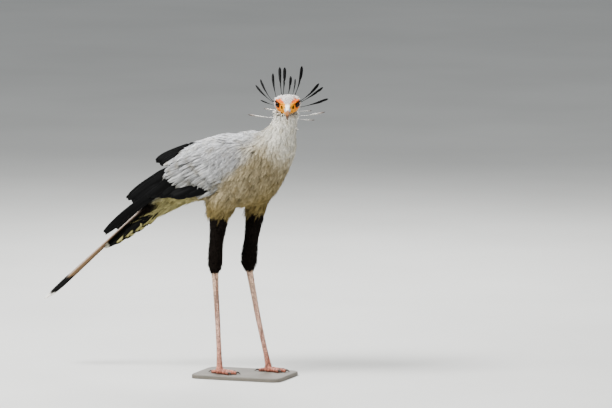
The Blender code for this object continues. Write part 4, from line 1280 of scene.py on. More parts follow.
def long_tail_paint(uv, rng):
    """The middle pair: pinkish grey with a white inner rim, browner below, a black band and a white tip."""
    t, v = np.array(uv).T
    t = t + 0.006 * np.sin(v * 9 + rng.uniform(0, 6))
    colour = plain("#5E4C3E", len(t))
    colour = blend(colour, "#7E6A55", smoothstep(0.40, 0.60, t))
    colour = blend(colour, "#A2938B", smoothstep(0.10, 0.04, np.abs(v - 0.55)))
    inner = 0.80 * smoothstep(0.45, 0.15, v) * smoothstep(0.30, 0.50, t)
    root = 0.85 * smoothstep(0.44, 0.30, v) * smoothstep(0.60, 0.42, t)
    colour = blend(blend(colour, "#4A3418", inner), "#14100D", root)
    colour = blend(colour, "#D8D2CA", smoothstep(0.84, 0.92, v))
    colour = blend(colour, "#0B0A09", smoothstep(0.800, 0.815, t))
    return blend(colour, "#ECE8DF", smoothstep(0.945, 0.958, t))


# Each shorter pair's pale patch: where it starts and ends along the feather, and its middle across it.
TAIL_PATCHES = {
    1: (0.945, 1.020, 0.50),
    2: (0.835, 0.930, 0.34),
    3: (0.800, 0.925, 0.36),
    4: (0.770, 0.940, 0.36),
    5: (0.640, 0.950, 0.38),
}


def short_tail_paint(uv, pair, rng):
    """The shorter pairs: black, with one ragged cream blotch near the tip, set in from the edge."""
    t, v = np.array(uv).T
    low, high, centre = TAIL_PATCHES[pair]
    middle, reach = (low + high) / 2, (high - low) / 2
    ragged = 0.16 * np.sin(t * 71 + rng.uniform(0, 6)) + 0.12 * np.sin(v * 27 + rng.uniform(0, 6))
    web = 0.34 if pair > 1 else 0.55
    inside = ((t - middle) / reach) ** 2 + ((v - centre) / web) ** 2 + ragged
    colour = plain("#080807", len(t))
    return blend(colour, "#98905C" if pair > 1 else "#BDB9A6", smoothstep(1.15, 0.85, inside))


def tail_feathers(rng):
    """The long middle pair and the shorter pairs, tented over it, each feather with its colours."""
    droop = math.radians(TAIL_DROOP)
    along = np.array((-math.cos(droop), 0, -math.sin(droop)))
    up = np.array((-math.sin(droop), 0, math.cos(droop)))
    long_pair, block = [], []
    for pair, (length, width) in enumerate(zip(TAIL_LENGTHS, TAIL_WIDTHS)):
        for side in (1, -1):
            roof = math.radians(34 if pair == 0 else 60)
            across = np.array((0, side * math.cos(roof), 0)) - up * math.sin(roof)
            normal = up * math.cos(roof) + np.array((0, side * math.sin(roof), 0))
            spread = math.radians(0.4 * pair)
            shift = 0.0135 if pair == 0 else 0.006 + 0.0040 * pair
            sunk = 0.0 if pair == 0 else 0.0012 + 0.0022 * pair
            root = np.array(TAIL_ROOT) + across * shift - up * sunk + STANCE_ROW
            heading = along * math.cos(spread) + across * math.sin(spread)
            steps = 70 if pair == 0 else 48
            ts = np.linspace(0, 1, steps + 1)
            path = [root + heading * (length * t) - up * (0.006 * t * t) for t in ts]
            widths = width * blade_profile(ts, 0.55, 0.35, 0.86)
            if pair == 0:
                widths = widths * (1 - 0.38 * np.sin(np.pi * np.minimum(1, ts * 1.15)) ** 2)
            p, f, uv = quill(path, widths, [normal] * (steps + 1), 0.05, 0.0008, 10, 3, rng)
            if side < 0:
                uv = [(u, 1 - v) for u, v in uv]
            made = (p, f, uv, rng.uniform(0, 1))
            colours = long_tail_paint(uv, rng) if pair == 0 else short_tail_paint(uv, pair, rng)
            (long_pair if pair == 0 else block).append((made, colours))
    return long_pair, block


def crest_feathers(rng):
    """The crest's feathers: black paddles above, and paler, narrower ones hanging low."""
    black, pale = [], []
    for root_y, root_z, lean, swept, length, width_mm in CREST:
        lean_a, swept_a = math.radians(lean), math.radians(swept)
        out = np.array((0, math.sin(lean_a), math.cos(lean_a)))
        heading = out * math.cos(swept_a) - np.array((1, 0, 0)) * math.sin(swept_a)
        root = np.array((-0.036, root_y, root_z)) - heading * 0.010
        aside = np.array((0, math.cos(lean_a), -math.sin(lean_a))) * min(1, max(-1, lean / 22))
        sag = 0.24 if abs(lean) < 70 else 0.09
        bow = (np.array((1, 0, 0)) + out * 0.5) * (0.05 * length) + aside * (sag * length)
        ts = np.linspace(0, 1, 22)
        path = [to_world([root + heading * ((length + 0.010) * t) + bow * (t - t * t)])[0] for t in ts]
        paddle = smoothstep(0.35, 0.85, ts)
        blunt = np.sqrt(np.clip(1 - (np.clip(ts - 0.88, 0, 1) / 0.12) ** 2, 0.05, 1))
        share = (0.20 + 0.80 * paddle) * blunt
        normal = HEAD_TURN @ (np.array((1, 0, 0)) + out * 0.6)
        low = abs(lean) > 92
        wide = width_mm / 1000 * (0.65 if low else 1.0)
        p, f, uv = quill(path, wide * share, [normal] * 22, 0.06, 0.0007, 6, 2, rng)
        (pale if low else black).append((p, f, uv, rng.uniform(0, 1)))
    return black, pale


class BirdSettings(bpy.types.PropertyGroup):
    """Sizes and amounts a user would change."""

    body_spacing: bpy.props.FloatProperty(
        name="Body feather spacing", description="Distance between body feather roots",
        default=0.0050, min=0.003, max=0.02, unit="LENGTH")
    body_lift: bpy.props.FloatProperty(
        name="Body feather lift", description="How far body feathers stand off, in degrees",
        default=11.0, min=0.0, max=45.0)
    coat_depth: bpy.props.FloatProperty(
        name="Coat depth", description="How far the skin lies inside the plumage",
        default=0.008, min=0.002, max=0.02, unit="LENGTH")
    leg_spacing: bpy.props.FloatProperty(
        name="Leg feather spacing", description="Distance between leg feather roots",
        default=0.0032, min=0.002, max=0.01, unit="LENGTH")
    head_spacing: bpy.props.FloatProperty(
        name="Head feather spacing", description="Distance between head feather roots",
        default=0.0019, min=0.001, max=0.01, unit="LENGTH")
    floor_radius: bpy.props.FloatProperty(
        name="Floor radius", description="Reach of the studio floor", default=60.0, min=2.0, unit="LENGTH")
    key_power: bpy.props.FloatProperty(
        name="Key light", description="Power of the main soft light, in watts", default=560.0, min=0.0)


def settings():
    return bpy.context.scene.secretary_bird


# How fine the two skins are, in metres.
BODY_VOXEL = 0.0042
HEAD_VOXEL = 0.0011

# What one operator makes and a later one needs: the body skin, and the short blades.
SHARED = {}


class BIRD_OT_skin(bpy.types.Operator):
    """Build the one skin under the plumage of body, neck, wings' covers and feathered legs"""

    bl_idname = "bird.skin"
    bl_label = "Body skin"

    def execute(self, context):
        depth = settings().coat_depth
        parts = [tube(body_rings(90, 48, depth))]
        for side in ("R", "L"):
            parts.append(tube(leg_rings(THIGHS[side], 20, 32, depth * 0.8)))
            parts.append(tube(leg_rings(TROUSERS[side], 50, 28, 0.0018)))
        for side in (1, -1):
            parts.append(tube(shield_rings(side, 40, 0.006)))
        mesh = fused("body_skin", parts, BODY_VOXEL, 6)
        own = mesh_points(mesh)
        points = own + STANCE_ROW
        move_points(mesh, points)
        set_colours(mesh, "paint", markings(points))
        t, wide, high, _ = body_place(own)
        leg = (own[:, 2] < 0.515) & on_leg(own)
        along = np.where(leg, 0.85 + 0.15 * (own[:, 2] - 0.3) / 0.22, t * 0.84)
        unwrap(mesh, (np.arctan2(high, wide) / (2 * math.pi)) % 1.0, along)
        skin = piece_of("body_skin", mesh, material("under", skin_under_material))
        keep(skin, "plumage", "torso", "neck", "trousers_R", "trousers_L")
        SHARED["skin"] = skin
        return {"FINISHED"}


# Where the coat's regions meet: shares of the body's length and height, and a height on the legs.
NECK_FROM = 0.64
TAIL_COVERTS_TO = 0.27
RUMP_TO = 0.13
FLANK_TOP = -0.12
LEG_COAT_TOP = 0.519


def body_fields(region, points):
    """Feather density, length and width at each point, for one region of the body skin."""
    p = points - STANCE_ROW
    t, _, high, _ = body_place(p)
    leg = (p[:, 2] < LEG_COAT_TOP) & on_leg(p)
    low = high <= FLANK_TOP
    if region == "legs":
        on = leg
        length = 0.011 + 0.003 * smoothstep(0.44, 0.50, p[:, 2])
        width = 0.0055
    elif region == "neck":
        on = t >= NECK_FROM
        length = 0.032 - 0.012 * smoothstep(0.66, 0.95, t)
        width = length * 0.27
    elif region == "upper":
        on = (t < NECK_FROM) & (t > RUMP_TO) & ~low & ~leg
        length = 0.034
        width = 0.0075
    elif region == "lower":
        on = (t < NECK_FROM) & (t >= TAIL_COVERTS_TO) & low & ~leg
        length = 0.031 + 0.010 * smoothstep(0.55, 0.52, p[:, 2]) * (t > 0.2)
        width = 0.0080
    else:
        on = (t < TAIL_COVERTS_TO) & (low | (t <= RUMP_TO)) & ~leg
        fringe = smoothstep(0.16, 0.08, t) * smoothstep(-0.45, -0.70, high)
        length = 0.036 + 0.026 * fringe - 0.012 * smoothstep(0.12, 0.07, t) * (1 - fringe)
        width = 0.0085 - 0.003 * fringe
    each = np.ones(len(p))
    return {"keep": on * each, "length": length * each, "width": width * each}


class BIRD_OT_coat(bpy.types.Operator):
    """Grow the body's contour feathers region by region"""

    bl_idname = "bird.coat"
    bl_label = "Body plumage"

    def execute(self, context):
        s = settings()
        skin = SHARED["skin"]
        finish = material("contour", contour_plumage_material)
        wispy, short = (blade_collection(kind) for kind in ("wispy", "short"))
        points = mesh_points(skin.data)
        lie = lie_of(points, mesh_normals(skin.data))
        for name, region, blades, spacing, lift, unruly, seed in (
            ("neck_plumage", "neck", wispy, s.body_spacing * 0.72, s.body_lift * 0.85, 11, 3),
            ("back_plumage", "upper", wispy, s.body_spacing * 0.86, s.body_lift * 0.75, 10, 5),
            ("flank_plumage", "lower", wispy, s.body_spacing * 0.84, s.body_lift, 14, 7),
            ("undertail_plumage", "under", wispy, s.body_spacing * 0.90, s.body_lift, 15, 9),
            ("leg_plumage", "legs", short, s.leg_spacing, 17, 12, 11),
        ):
            given = {**body_fields(region, points), "lie": lie}
            obj = grow_coat(name, skin, given, blades, finish, spacing, lift, unruly, seed)
            keep(obj, "black_plumage" if region == "legs" else "plumage")
        SHARED["short_blades"] = short
        return {"FINISHED"}


# Colours along flight and crest feathers, from the root.
BLACK_STOPS = ((0.0, linear("#050505")), (0.7, linear("#040404")), (1.0, linear("#070707")))
CREST_BLACK_STOPS = (
    (0.0, linear("#4A4744")),
    (0.14, linear("#141312")),
    (0.26, linear("#060606")),
    (1.0, linear("#050505")),
)
CREST_PALE_STOPS = (
    (0.0, linear("#BDB9B4")),
    (0.70, linear("#A5A29C")),
    (0.88, linear("#6E6560")),
    (0.96, linear("#3A322E")),
    (1.0, linear("#2E2622")),
)


def covert_paint(points, uv, rng):
    """One covert's grey: paler high on the wing in painted light from above, darker along its lower edge in
    painted shade, in streaks along it.
    """
    rise = np.asarray(points)[:, 2] - STANCE.z
    # Painted shade low on the wing, painted light higher up.
    colour = plain(PALETTE["shaded_grey"], len(rise))
    colour = blend(colour, PALETTE["grey"], smoothstep(0.575, 0.655, rise)) * 0.72
    streaks = rng.uniform(0.50, 1.45, 7)
    column = np.clip(np.round(np.array(uv)[:, 1] * 6).astype(int), 0, 6)
    wave = 1 + 0.20 * np.sin(np.array(uv)[:, 0] * rng.uniform(14, 26) + rng.uniform(0, 6))
    return colour * (streaks[column] * wave)[:, None]


class BIRD_OT_wings(bpy.types.Operator):
    """Build both folded wings: black quills and grey coverts in tiers"""

    bl_idname = "bird.wings"
    bl_label = "Wings"

    def execute(self, context):
        black = material("wing_black", quill_material, "black_flight_quills", BLACK_STOPS, 0.5)
        grey_finish = material("contour", contour_plumage_material)
        for side, label in ((1, "L"), (-1, "R")):
            rng = np.random.default_rng(21)
            quills = tier_feathers(QUILL_TIERS, side, rng, 6, 2, 0.0008)
            keep(quills_piece("wing_quills_" + label, quills, black), "wing_plumage", "wing_" + label)
            coverts = tier_feathers(COVERT_TIERS, side, rng, 6, 5, 0.0006, 0.006, 0.55, 0.021)
            paint = np.vstack([covert_paint(feather[0], feather[2], rng) for feather in coverts])
            keep(quills_piece("wing_coverts_" + label, coverts, grey_finish, paint), "wing_plumage")
        return {"FINISHED"}


class BIRD_OT_tail(bpy.types.Operator):
    """Build the tail: the long middle pair and the tented shorter feathers"""

    bl_idname = "bird.tail"
    bl_label = "Tail"

    def execute(self, context):
        rng = np.random.default_rng(31)
        long_pair, block = tail_feathers(rng)
        finish = material("tail", tail_material)
        for name, made, nodes in (("tail_long_pair", long_pair, ("tail",)), ("tail_block", block, ())):
            feathers = [feather for feather, _ in made]
            paint = np.vstack([colours for _, colours in made])
            keep(quills_piece(name, feathers, finish, paint), "tail_plumage", *nodes)
        return {"FINISHED"}


def eye_frame(side):
    """One eye's centre, look and turn in the head's own frame; side is 1 for the left, -1 for the right."""
    at = Vector((EYE_AT.x, EYE_AT.y * side, EYE_AT.z))
    look = Vector((EYE_LOOK.x, EYE_LOOK.y * side, EYE_LOOK.z))
    return at, look, look.to_track_quat("Z", "Y").to_matrix()


# The brow over the left eye: x, y, z, radius.
BROW = (
    (0.0260, 0.0150, 0.0080, 0.0022),
    (0.0180, 0.0245, 0.0115, 0.0034),
    (0.0060, 0.0318, 0.0130, 0.0036),
    (-0.0090, 0.0340, 0.0110, 0.0024),
)


def eye_rim(side):
    """The lids as one closed ring round the eye."""
    at, look, turn = (np.array(v) for v in eye_frame(side))
    at = at + look * 0.0045
    count, sides = 40, 14
    points, faces = [], []
    for k in range(count):
        a = 2 * math.pi * k / count
        out = np.array((math.cos(a), math.sin(a) * 0.90, 0))
        for i in range(sides):
            b = 2 * math.pi * i / sides
            local = out * (0.0092 + 0.0016 * math.cos(b)) + np.array((0, 0, 0.0030 * math.sin(b)))
            points.append(at + turn @ local)
            here, there = k * sides, (k + 1) % count * sides
            beside = (i + 1) % sides
            faces.append((here + i, here + beside, there + beside, there + i))
    return points, faces


def head_skin_parts():
    """Head, brows, eye rims and throat as overlapping closed parts, in the head's frame."""
    around = 48
    c, s = ring_angles(around, 2.3)
    rings = []
    for x, z, half, above, below in smooth_rows(HEAD_STATIONS, 60):
        inset = 0.0028 * float(smoothstep(-0.006, -0.024, x))
        crown = 0.0070 * float(smoothstep(0.012, -0.022, x))
        reach = np.where(s > 0, above - inset - 0.0008 - crown, below - inset)
        rings.append(np.stack([np.full(around, x), c * (half - inset), z + s * reach], axis=1))
    parts = [tube(np.array(rings))]
    a = np.arange(16) * 2 * math.pi / 16
    for side in (1, -1):
        brow = []
        for x, y, z, r in smooth_rows(BROW, 20):
            over = z + 0.8 * r * np.sin(a)
            brow.append(np.stack([np.full(16, x), side * y + 1.2 * r * np.cos(a), over], axis=1))
        parts.append(tube(np.array(brow)))
        parts.append(eye_rim(side))
    c, s = ring_angles(around, BODY_POWER)
    neck = []
    for x, z, slope, half, above, below in smooth_rows(SPINE, 60)[50:]:
        a = math.radians(slope)
        up = np.array([-math.sin(a), 0, math.cos(a)])
        reach = np.where(s > 0, above - 0.009, below - 0.009)
        centre = np.array([x, 0, z]) + STANCE_ROW
        ring = centre + np.outer(c * (half - 0.009), (0, 1, 0)) + (s * reach)[:, None] * up
        neck.append(to_head(ring))
    parts.append(tube(np.array(neck)))
    return parts


def face_masks(local):
    """How bare, and how yellow where bare, the head is at points of its own frame."""
    x, y, z = local[:, 0], np.abs(local[:, 1]), local[:, 2]
    goggle = ((x - 0.006) / 0.030) ** 2 + ((z + 0.004) / 0.024) ** 2
    front = smoothstep(-0.016, -0.006, x)
    side_line = 0.013 + 0.25 * (y - 0.010)
    top_line = 0.004 + 0.75 * np.maximum(y - 0.002, 0)
    crown = smoothstep(-0.002, 0.003, z - np.where(y > 0.012, side_line, top_line))
    chin = smoothstep(-0.023, -0.027, z)
    bare = front * (1 - crown) * (1 - chin) * smoothstep(1.25, 0.85, goggle)
    yellow = np.maximum(smoothstep(0.017, 0.026, x), smoothstep(-0.010, -0.018, z))
    return bare, yellow


def face_colours(local, groove):
    """Colour of the head's skin: white, with an orange and yellow face, dark lores, rims and mouth line, and
    a dark line of painted shade under the cheek.
    """
    x, y, z = local[:, 0], np.abs(local[:, 1]), local[:, 2]
    bare, yellow = face_masks(local)
    colour = blend(plain("#D6D0CC", len(local)), "#E6E2DA", smoothstep(-0.015, -0.035, z))
    colour = blend(colour, blend(plain("#CE5E00", len(local)), "#D89200", yellow), bare)
    lores = np.exp(-(((z + 0.0020) / 0.0048) ** 2 + ((y - 0.0178) / 0.0026) ** 2))
    lores *= smoothstep(0.014, 0.018, x)
    colour = blend(colour, "#0A0402", np.clip(lores * 5.0 - 0.9, 0, 0.99))
    # A dark line along the chin: the mouth's corner, with painted shade under the cheek.
    under = np.exp(-(((z + 0.0275) / 0.0024) ** 2)) * smoothstep(-0.002, 0.006, x)
    under *= smoothstep(0.004, 0.008, y)
    colour = blend(colour, "#3C3418", np.clip(under * 1.4, 0, 0.9))
    for side in (1, -1):
        at, look, _ = (np.array(v) for v in eye_frame(side))
        far = np.linalg.norm(local - at - look * 0.0055, axis=1)
        slope = 0.55 * (z - EYE_AT.z) - 0.84 * (y - EYE_AT.y)
        rim = smoothstep(0.0134, 0.0118, far + 0.25 * np.abs(slope))
        colour = blend(colour, "#0A0503", rim * 0.97)
    return blend(colour, "#7A3512", groove * 0.7)


# How deep the sockets are sunk behind the front of the eyes.
SOCKET_DEPTH = 0.0030


class BIRD_OT_head(bpy.types.Operator):
    """Build the head's skin with lids and brows, and its small feathers"""

    bl_idname = "bird.head"
    bl_label = "Head"

    def execute(self, context):
        mesh = fused("head_skin", head_skin_parts(), HEAD_VOXEL, 3)
        local = mesh_points(mesh)
        for side in (1, -1):
            at, look, _ = (np.array(v) for v in eye_frame(side))
            away = local - at
            far = np.linalg.norm(away, axis=1)
            sunk = (far < EYE_RADIUS + 0.0004) & (away @ look > 0.002)
            depth = far[sunk] - (EYE_RADIUS - SOCKET_DEPTH)
            local[sunk] -= (away[sunk] / far[sunk][:, None]) * depth[:, None]
        mouth = np.abs(local[:, 2] + 0.0135 + 0.21 * np.maximum(0, 0.030 - local[:, 0]))
        groove = smoothstep(0.0016, 0.0, mouth) * smoothstep(0.002, 0.010, local[:, 0])
        local[:, 1] -= np.sign(local[:, 1]) * 0.0012 * groove
        colour = face_colours(local, groove)
        move_points(mesh, to_world(local))
        set_colours(mesh, "paint", colour)
        here = to_head(mesh_points(mesh))
        turn = (np.arctan2(here[:, 2], here[:, 1]) / (2 * math.pi)) % 1.0
        unwrap(mesh, turn, np.clip((here[:, 0] + 0.06) / 0.1, 0, 1))
        skin = piece_of("head_skin", mesh, material("face", face_material))
        keep(skin, "face_skin", "head")
        normals = mesh_normals(mesh)
        low = smoothstep(-0.020, -0.035, here[:, 2])
        back = np.array((-1.0, 0, 0)) @ HEAD_TURN.T + np.array((0, 0, -0.25))
        lie = back * (1 - low)[:, None] + np.array((0, 0, -1.0)) * low[:, None]
        lie -= normals * np.sum(lie * normals, axis=1)[:, None]
        length = 0.0065 + 0.009 * smoothstep(0.020, -0.030, here[:, 0]) + 0.006 * low
        given = {
            "keep": (face_masks(here)[0] < 0.35) * smoothstep(0.030, 0.024, here[:, 0]),
            "length": length,
            "width": length * 0.36,
            "lie": lie,
        }
        blades = SHARED["short_blades"]
        finish = material("contour", contour_plumage_material)
        coat = grow_coat("head_plumage", skin, given, blades, finish, settings().head_spacing, 14, 12, 17)
        keep(coat, "plumage")
        return {"FINISHED"}


NOSTRIL_AT = (0.0385, 0.0012)


def nostril(local, long, high):
    """Place in a nostril of this reach: 0 in the middle and 1 at the rim."""
    return ((local[:, 0] - NOSTRIL_AT[0]) / long) ** 2 + ((local[:, 2] - NOSTRIL_AT[1]) / high) ** 2


def bill_colours(local, stations, upper):
    """Colour of the bill: a yellow base, blue-grey sides, a pale ridge with a painted highlight along its
    top, and a brown tip.
    """
    x, y, z = local[:, 0], np.abs(local[:, 1]), local[:, 2]
    half = np.interp(x, [row[0] for row in stations], [row[3] for row in stations])
    hole = smoothstep(1.3, 0.6, nostril(local, 0.0028, 0.0012)) * (y > 0.002)
    colour = plain("#A9B2B8", len(local))
    for code, share in (
        ("#D88E00", smoothstep(0.050, 0.042, x)),
        # The ridge's top near white: pale horn with a painted highlight.
        ("#FFFDF2", smoothstep(0.66, 0.46, y / half) * smoothstep(-0.008, 0.000, z)),
        ("#96602F", smoothstep(0.0535, 0.0590, x)),
        ("#4A2C14", smoothstep(-0.010, -0.018, z) * (x > 0.05)),
        ("#2A1A10", hole if upper else 0 * x),
        ("#7E6438", 0 * x if upper else 0.8 * smoothstep(0.036, 0.046, x)),
    ):
        colour = blend(colour, code, share)
    return colour


class BIRD_OT_bill(bpy.types.Operator):
    """Build the hooked upper bill with its cere and nostrils, and the lower bill"""

    bl_idname = "bird.bill"
    bl_label = "Bill"

    def execute(self, context):
        c, s = ring_angles(40, 2.2)
        for name, stations, node in (
            ("upper_bill", BILL_STATIONS, "bill_upper"),
            ("lower_bill", LOWER_BILL_STATIONS, "bill_lower"),
        ):
            rings = []
            for x, top, bottom, half in smooth_rows(stations, 50):
                middle = (top + bottom) / 2
                wide = c * half * (1 - 0.25 * np.maximum(0, s))
                rings.append(np.stack([np.full(40, x), wide, middle + s * (top - middle)], axis=1))
            points, faces = tube(np.array(rings))
            local = np.array(points)
            upper = stations is BILL_STATIONS
            if upper:
                dip = smoothstep(1.4, 0.4, nostril(local, 0.0030, 0.0013)) * (np.abs(local[:, 1]) > 0.002)
                local[:, 1] -= np.sign(local[:, 1]) * 0.0022 * dip
            colour = bill_colours(local, stations, upper)
            mesh = outward(mesh_of(name, to_world(local), faces))
            order = to_head(mesh_points(mesh))
            nearest = np.array([int(np.argmin(np.sum((local - q) ** 2, axis=1))) for q in order])
            set_colours(mesh, "paint", colour[nearest])
            keep(piece_of(name, mesh, material("bill", bill_material)), "bill_horn", node)
        return {"FINISHED"}


def eyeball_mesh(side, name):
    """An eyeball with a slightly bulged clear front; its map holds distance from the pupil and turn."""
    at, _, turn = eye_frame(side)
    around, bands = 48, 32
    points, faces, uvs = [], [], []
    for k in range(bands + 1):
        polar = math.pi * k / bands
        radius = EYE_RADIUS + 0.0009 * float(smoothstep(0.75, 0.35, polar))
        for i in range(around):
            a = 2 * math.pi * i / around
            out = math.sin(polar)
            local = Vector((out * math.cos(a), out * math.sin(a), math.cos(polar)))
            points.append(tuple(HEAD @ (at + turn @ (local * radius))))
            uvs.append((polar / math.pi, i / around))
    for k in range(bands):
        for i in range(around):
            a, b = k * around + i, k * around + (i + 1) % around
            faces.append((a, a + around, b + around, b))
    mesh = mesh_of(name, points, faces)
    set_map(mesh, "iris", uvs)
    return outward(mesh)


def lash_feathers(side):
    """The bristles over one eye, in an arc along its upper lid."""
    at, _, turn = eye_frame(side)
    rng = np.random.default_rng(5)
    normal = np.array(HEAD.to_3x3() @ (turn @ Vector((0, 0, 1))))
    ts = np.linspace(0, 1, 6)
    lashes = []
    for k in range(16):
        a = math.radians(25 + 130 * k / 15)
        rim = Vector((math.cos(a) * 0.0098, math.sin(a) * 0.0090, 0.0072))
        tip = Vector((math.cos(a) * 0.0150, math.sin(a) * 0.0150, 0.0130)) * rng.uniform(0.92, 1.1)
        path = []
        for t in ts:
            here = rim.lerp(tip, t) + Vector((0, 0, 0.0015 * math.sin(math.pi * t)))
            path.append(np.array(HEAD @ (at + turn @ here)))
        p, f, uv = quill(path, 0.0011 * (1 - 0.85 * ts), [normal] * 6, 0.05, 0.0004, 2, 0, rng)
        lashes.append((p, f, uv, 0.3))
    return lashes


class BIRD_OT_eyes(bpy.types.Operator):
    """Build both eyes with a bulged clear front, and the lashes above them"""

    bl_idname = "bird.eyes"
    bl_label = "Eyes"

    def execute(self, context):
        lash_finish = material("wing_black", quill_material, "black_flight_quills", BLACK_STOPS, 0.5)
        for side, label in ((1, "L"), (-1, "R")):
            mesh = eyeball_mesh(side, "eyeball_" + label)
            keep(piece_of("eyeball_" + label, mesh, material("eye", eye_material)), "eye", "eye_" + label)
            keep(quills_piece("lashes_" + label, lash_feathers(side), lash_finish), "face_skin")
        return {"FINISHED"}


class BIRD_OT_crest(bpy.types.Operator):
    """Build the raised crest, feather by feather"""

    bl_idname = "bird.crest"
    bl_label = "Crest"

    def execute(self, context):
        rng = np.random.default_rng(51)
        black, pale = crest_feathers(rng)
        dark = material("crest_black", quill_material, "black_crest_quills", CREST_BLACK_STOPS, 0.42)
        light = material("crest_pale", quill_material, "pale_crest_quills", CREST_PALE_STOPS, 0.7)
        keep(quills_piece("crest_black", black, dark), "tail_plumage")
        keep(quills_piece("crest_pale", pale, light), "plumage")
        return {"FINISHED"}


def plate_rise(along, turn, pitch, rise):
    """Height of overlapping front plates: steep lower edge, long slope, strongest in front."""
    saw = (along / pitch) % 1.0
    plate = smoothstep(0.0, 0.12, saw) * (1 - 0.75 * smoothstep(0.12, 1.0, saw))
    front = np.clip(np.cos(turn), 0, 1) ** 0.35
    return rise * plate * front


# The ball of the foot, from the ground up: z, half depth, half width.
FOOT_BALL = (
    (0.0004, 0.0100, 0.0095),
    (0.005, 0.0124, 0.0119),
    (0.013, 0.0118, 0.0110),
    (0.019, 0.0106, 0.0096),
    (0.026, 0.0094, 0.0084),
)
SHANK_TOP = 0.34


def toe_frame(side, angle):
    """The way one toe points along the ground, and the way across it."""
    turn = math.radians(FOOT_HEADING[side] + (angle if side == "R" else -angle))
    return np.array((math.cos(turn), math.sin(turn), 0)), np.array((-math.sin(turn), math.cos(turn), 0))


def joined(name, parts):
    """One mesh of overlapping closed parts, moved to the frame."""
    points, faces = [], []
    for part_points, part_faces in parts:
        base = len(points)
        points += [p + STANCE_ROW for p in part_points]
        faces += [tuple(i + base for i in face) for face in part_faces]
    return outward(mesh_of(name, points, faces))


def leg_mesh(side):
    """Bare shank and toes with raised plates, as closed overlapping tubes."""
    around = 40
    a = np.arange(around) * 2 * math.pi / around
    c, s = ring_angles(around, 2.2)
    rings = []
    for x, y, z, fore, wide in smooth_rows(SHANKS[side], 260):
        down = np.full(around, SHANK_TOP - z)
        rise = plate_rise(down, a, 0.0150, 0.0010)
        rise += 0.5 * plate_rise(down, a + math.pi, 0.0110, 0.0008)
        ring_x = x + (fore - 0.0004 + rise) * c
        ring_y = y + (wide - 0.0004 + rise * 0.7) * s
        rings.append(np.stack([ring_x, ring_y, np.full(around, z)], axis=1))
    parts = [tube(np.array(rings))]
    foot = FOOT_AT[side]
    c, s = ring_angles(32, 2.2)
    rings = []
    for z, fore, wide in smooth_rows(FOOT_BALL, 24):
        ring_x = foot.x + fore * c + 0.0015 * (1 - z / 0.026)
        rings.append(np.stack([ring_x, foot.y + wide * s, np.full(32, z)], axis=1))
    parts.append(tube(np.array(rings)))
    around = 24
    b = np.arange(around) * 2 * math.pi / around
    for _, angle, length, root, tip in TOES:
        direction, across = toe_frame(side, angle)
        rings = []
        for t in np.linspace(0, 1, 110):
            end = math.sqrt(max(0.02, 1 - max(0.0, (t - 0.90) / 0.10) ** 2))
            joints = 1 + 0.07 * math.cos(6 * math.pi * t)
            radius = (root + (tip - root) * t) * joints * (0.80 + 0.20 * end)
            lift = radius * 0.86 + 0.0032 * (1 - t) ** 3
            centre = np.array(foot) + direction * (0.002 + length * t) + np.array((0, 0, lift))
            rise = plate_rise(np.full(around, length * t), b - math.pi / 2, 0.0046, 0.0006)
            out = (radius - 0.0003 + rise)[:, None]
            ring = centre + out * (np.cos(b)[:, None] * across + np.sin(b)[:, None] * np.array((0, 0, 1)))
            ring[:, 2] = np.maximum(ring[:, 2], 0.0002)
            rings.append(ring)
        parts.append(tube(np.array(rings)))
    return joined("leg_" + side, parts)


def claw_mesh(side):
    """The four claws of one foot, arched and pointing down at the tip."""
    b = np.arange(20) * 2 * math.pi / 20
    parts = []
    for _, angle, length, _, tip_radius in TOES:
        direction, across = toe_frame(side, angle)
        start = np.array(FOOT_AT[side]) + direction * (0.0015 + length)
        root_height = tip_radius * 0.95
        rings = []
        for t in np.linspace(0, 1, 24):
            radius = tip_radius * 0.72 * (1 - 0.86 * t**1.2)
            arch = 0.0022 * math.sin(math.pi * min(t * 1.3, 1.0))
            height = root_height + arch - (root_height - 0.0016) * t * t
            centre = start + direction * (CLAW_LENGTH * t) + np.array((0, 0, height))
            rise = radius * np.sin(b)
            ring = centre + np.outer(radius * 0.8 * np.cos(b), across)
            ring += np.outer(rise * math.cos(0.9 * t), (0, 0, 1))
            ring += np.outer(rise * math.sin(0.9 * t), direction)
            ring[:, 2] = np.maximum(ring[:, 2], 0.0005)
            rings.append(ring)
        parts.append(tube(np.array(rings)))
    return joined("talons_" + side, parts)


class BIRD_OT_legs(bpy.types.Operator):
    """Build the bare scaled shanks, toes and claws"""

    bl_idname = "bird.legs"
    bl_label = "Bare legs and claws"

    def execute(self, context):
        for side in ("R", "L"):
            leg = piece_of("scaled_leg_" + side, leg_mesh(side), material("leg", leg_material))
            keep(leg, "leg_scale", "shank_" + side, "foot_" + side)
            talons = piece_of("talons_" + side, claw_mesh(side), material("claw", claw_material))
            keep(talons, "claw_horn", *["claw_%s_%s" % (side, toe[0]) for toe in TOES])
        return {"FINISHED"}


def aimed(location, target):
    """The turn that points a light from its place at the target."""
    return (Vector(target) - Vector(location)).to_track_quat("-Z", "Y").to_euler()


def view_axes():
    """The picture's right, up and towards-the-viewer directions."""
    a, e = math.radians(VIEW_TURN), math.radians(VIEW_RISE)
    right = Vector((math.cos(a), math.sin(a), 0))
    back = Vector((math.sin(a) * math.cos(e), -math.cos(a) * math.cos(e), math.sin(e)))
    return right, back.cross(right), back


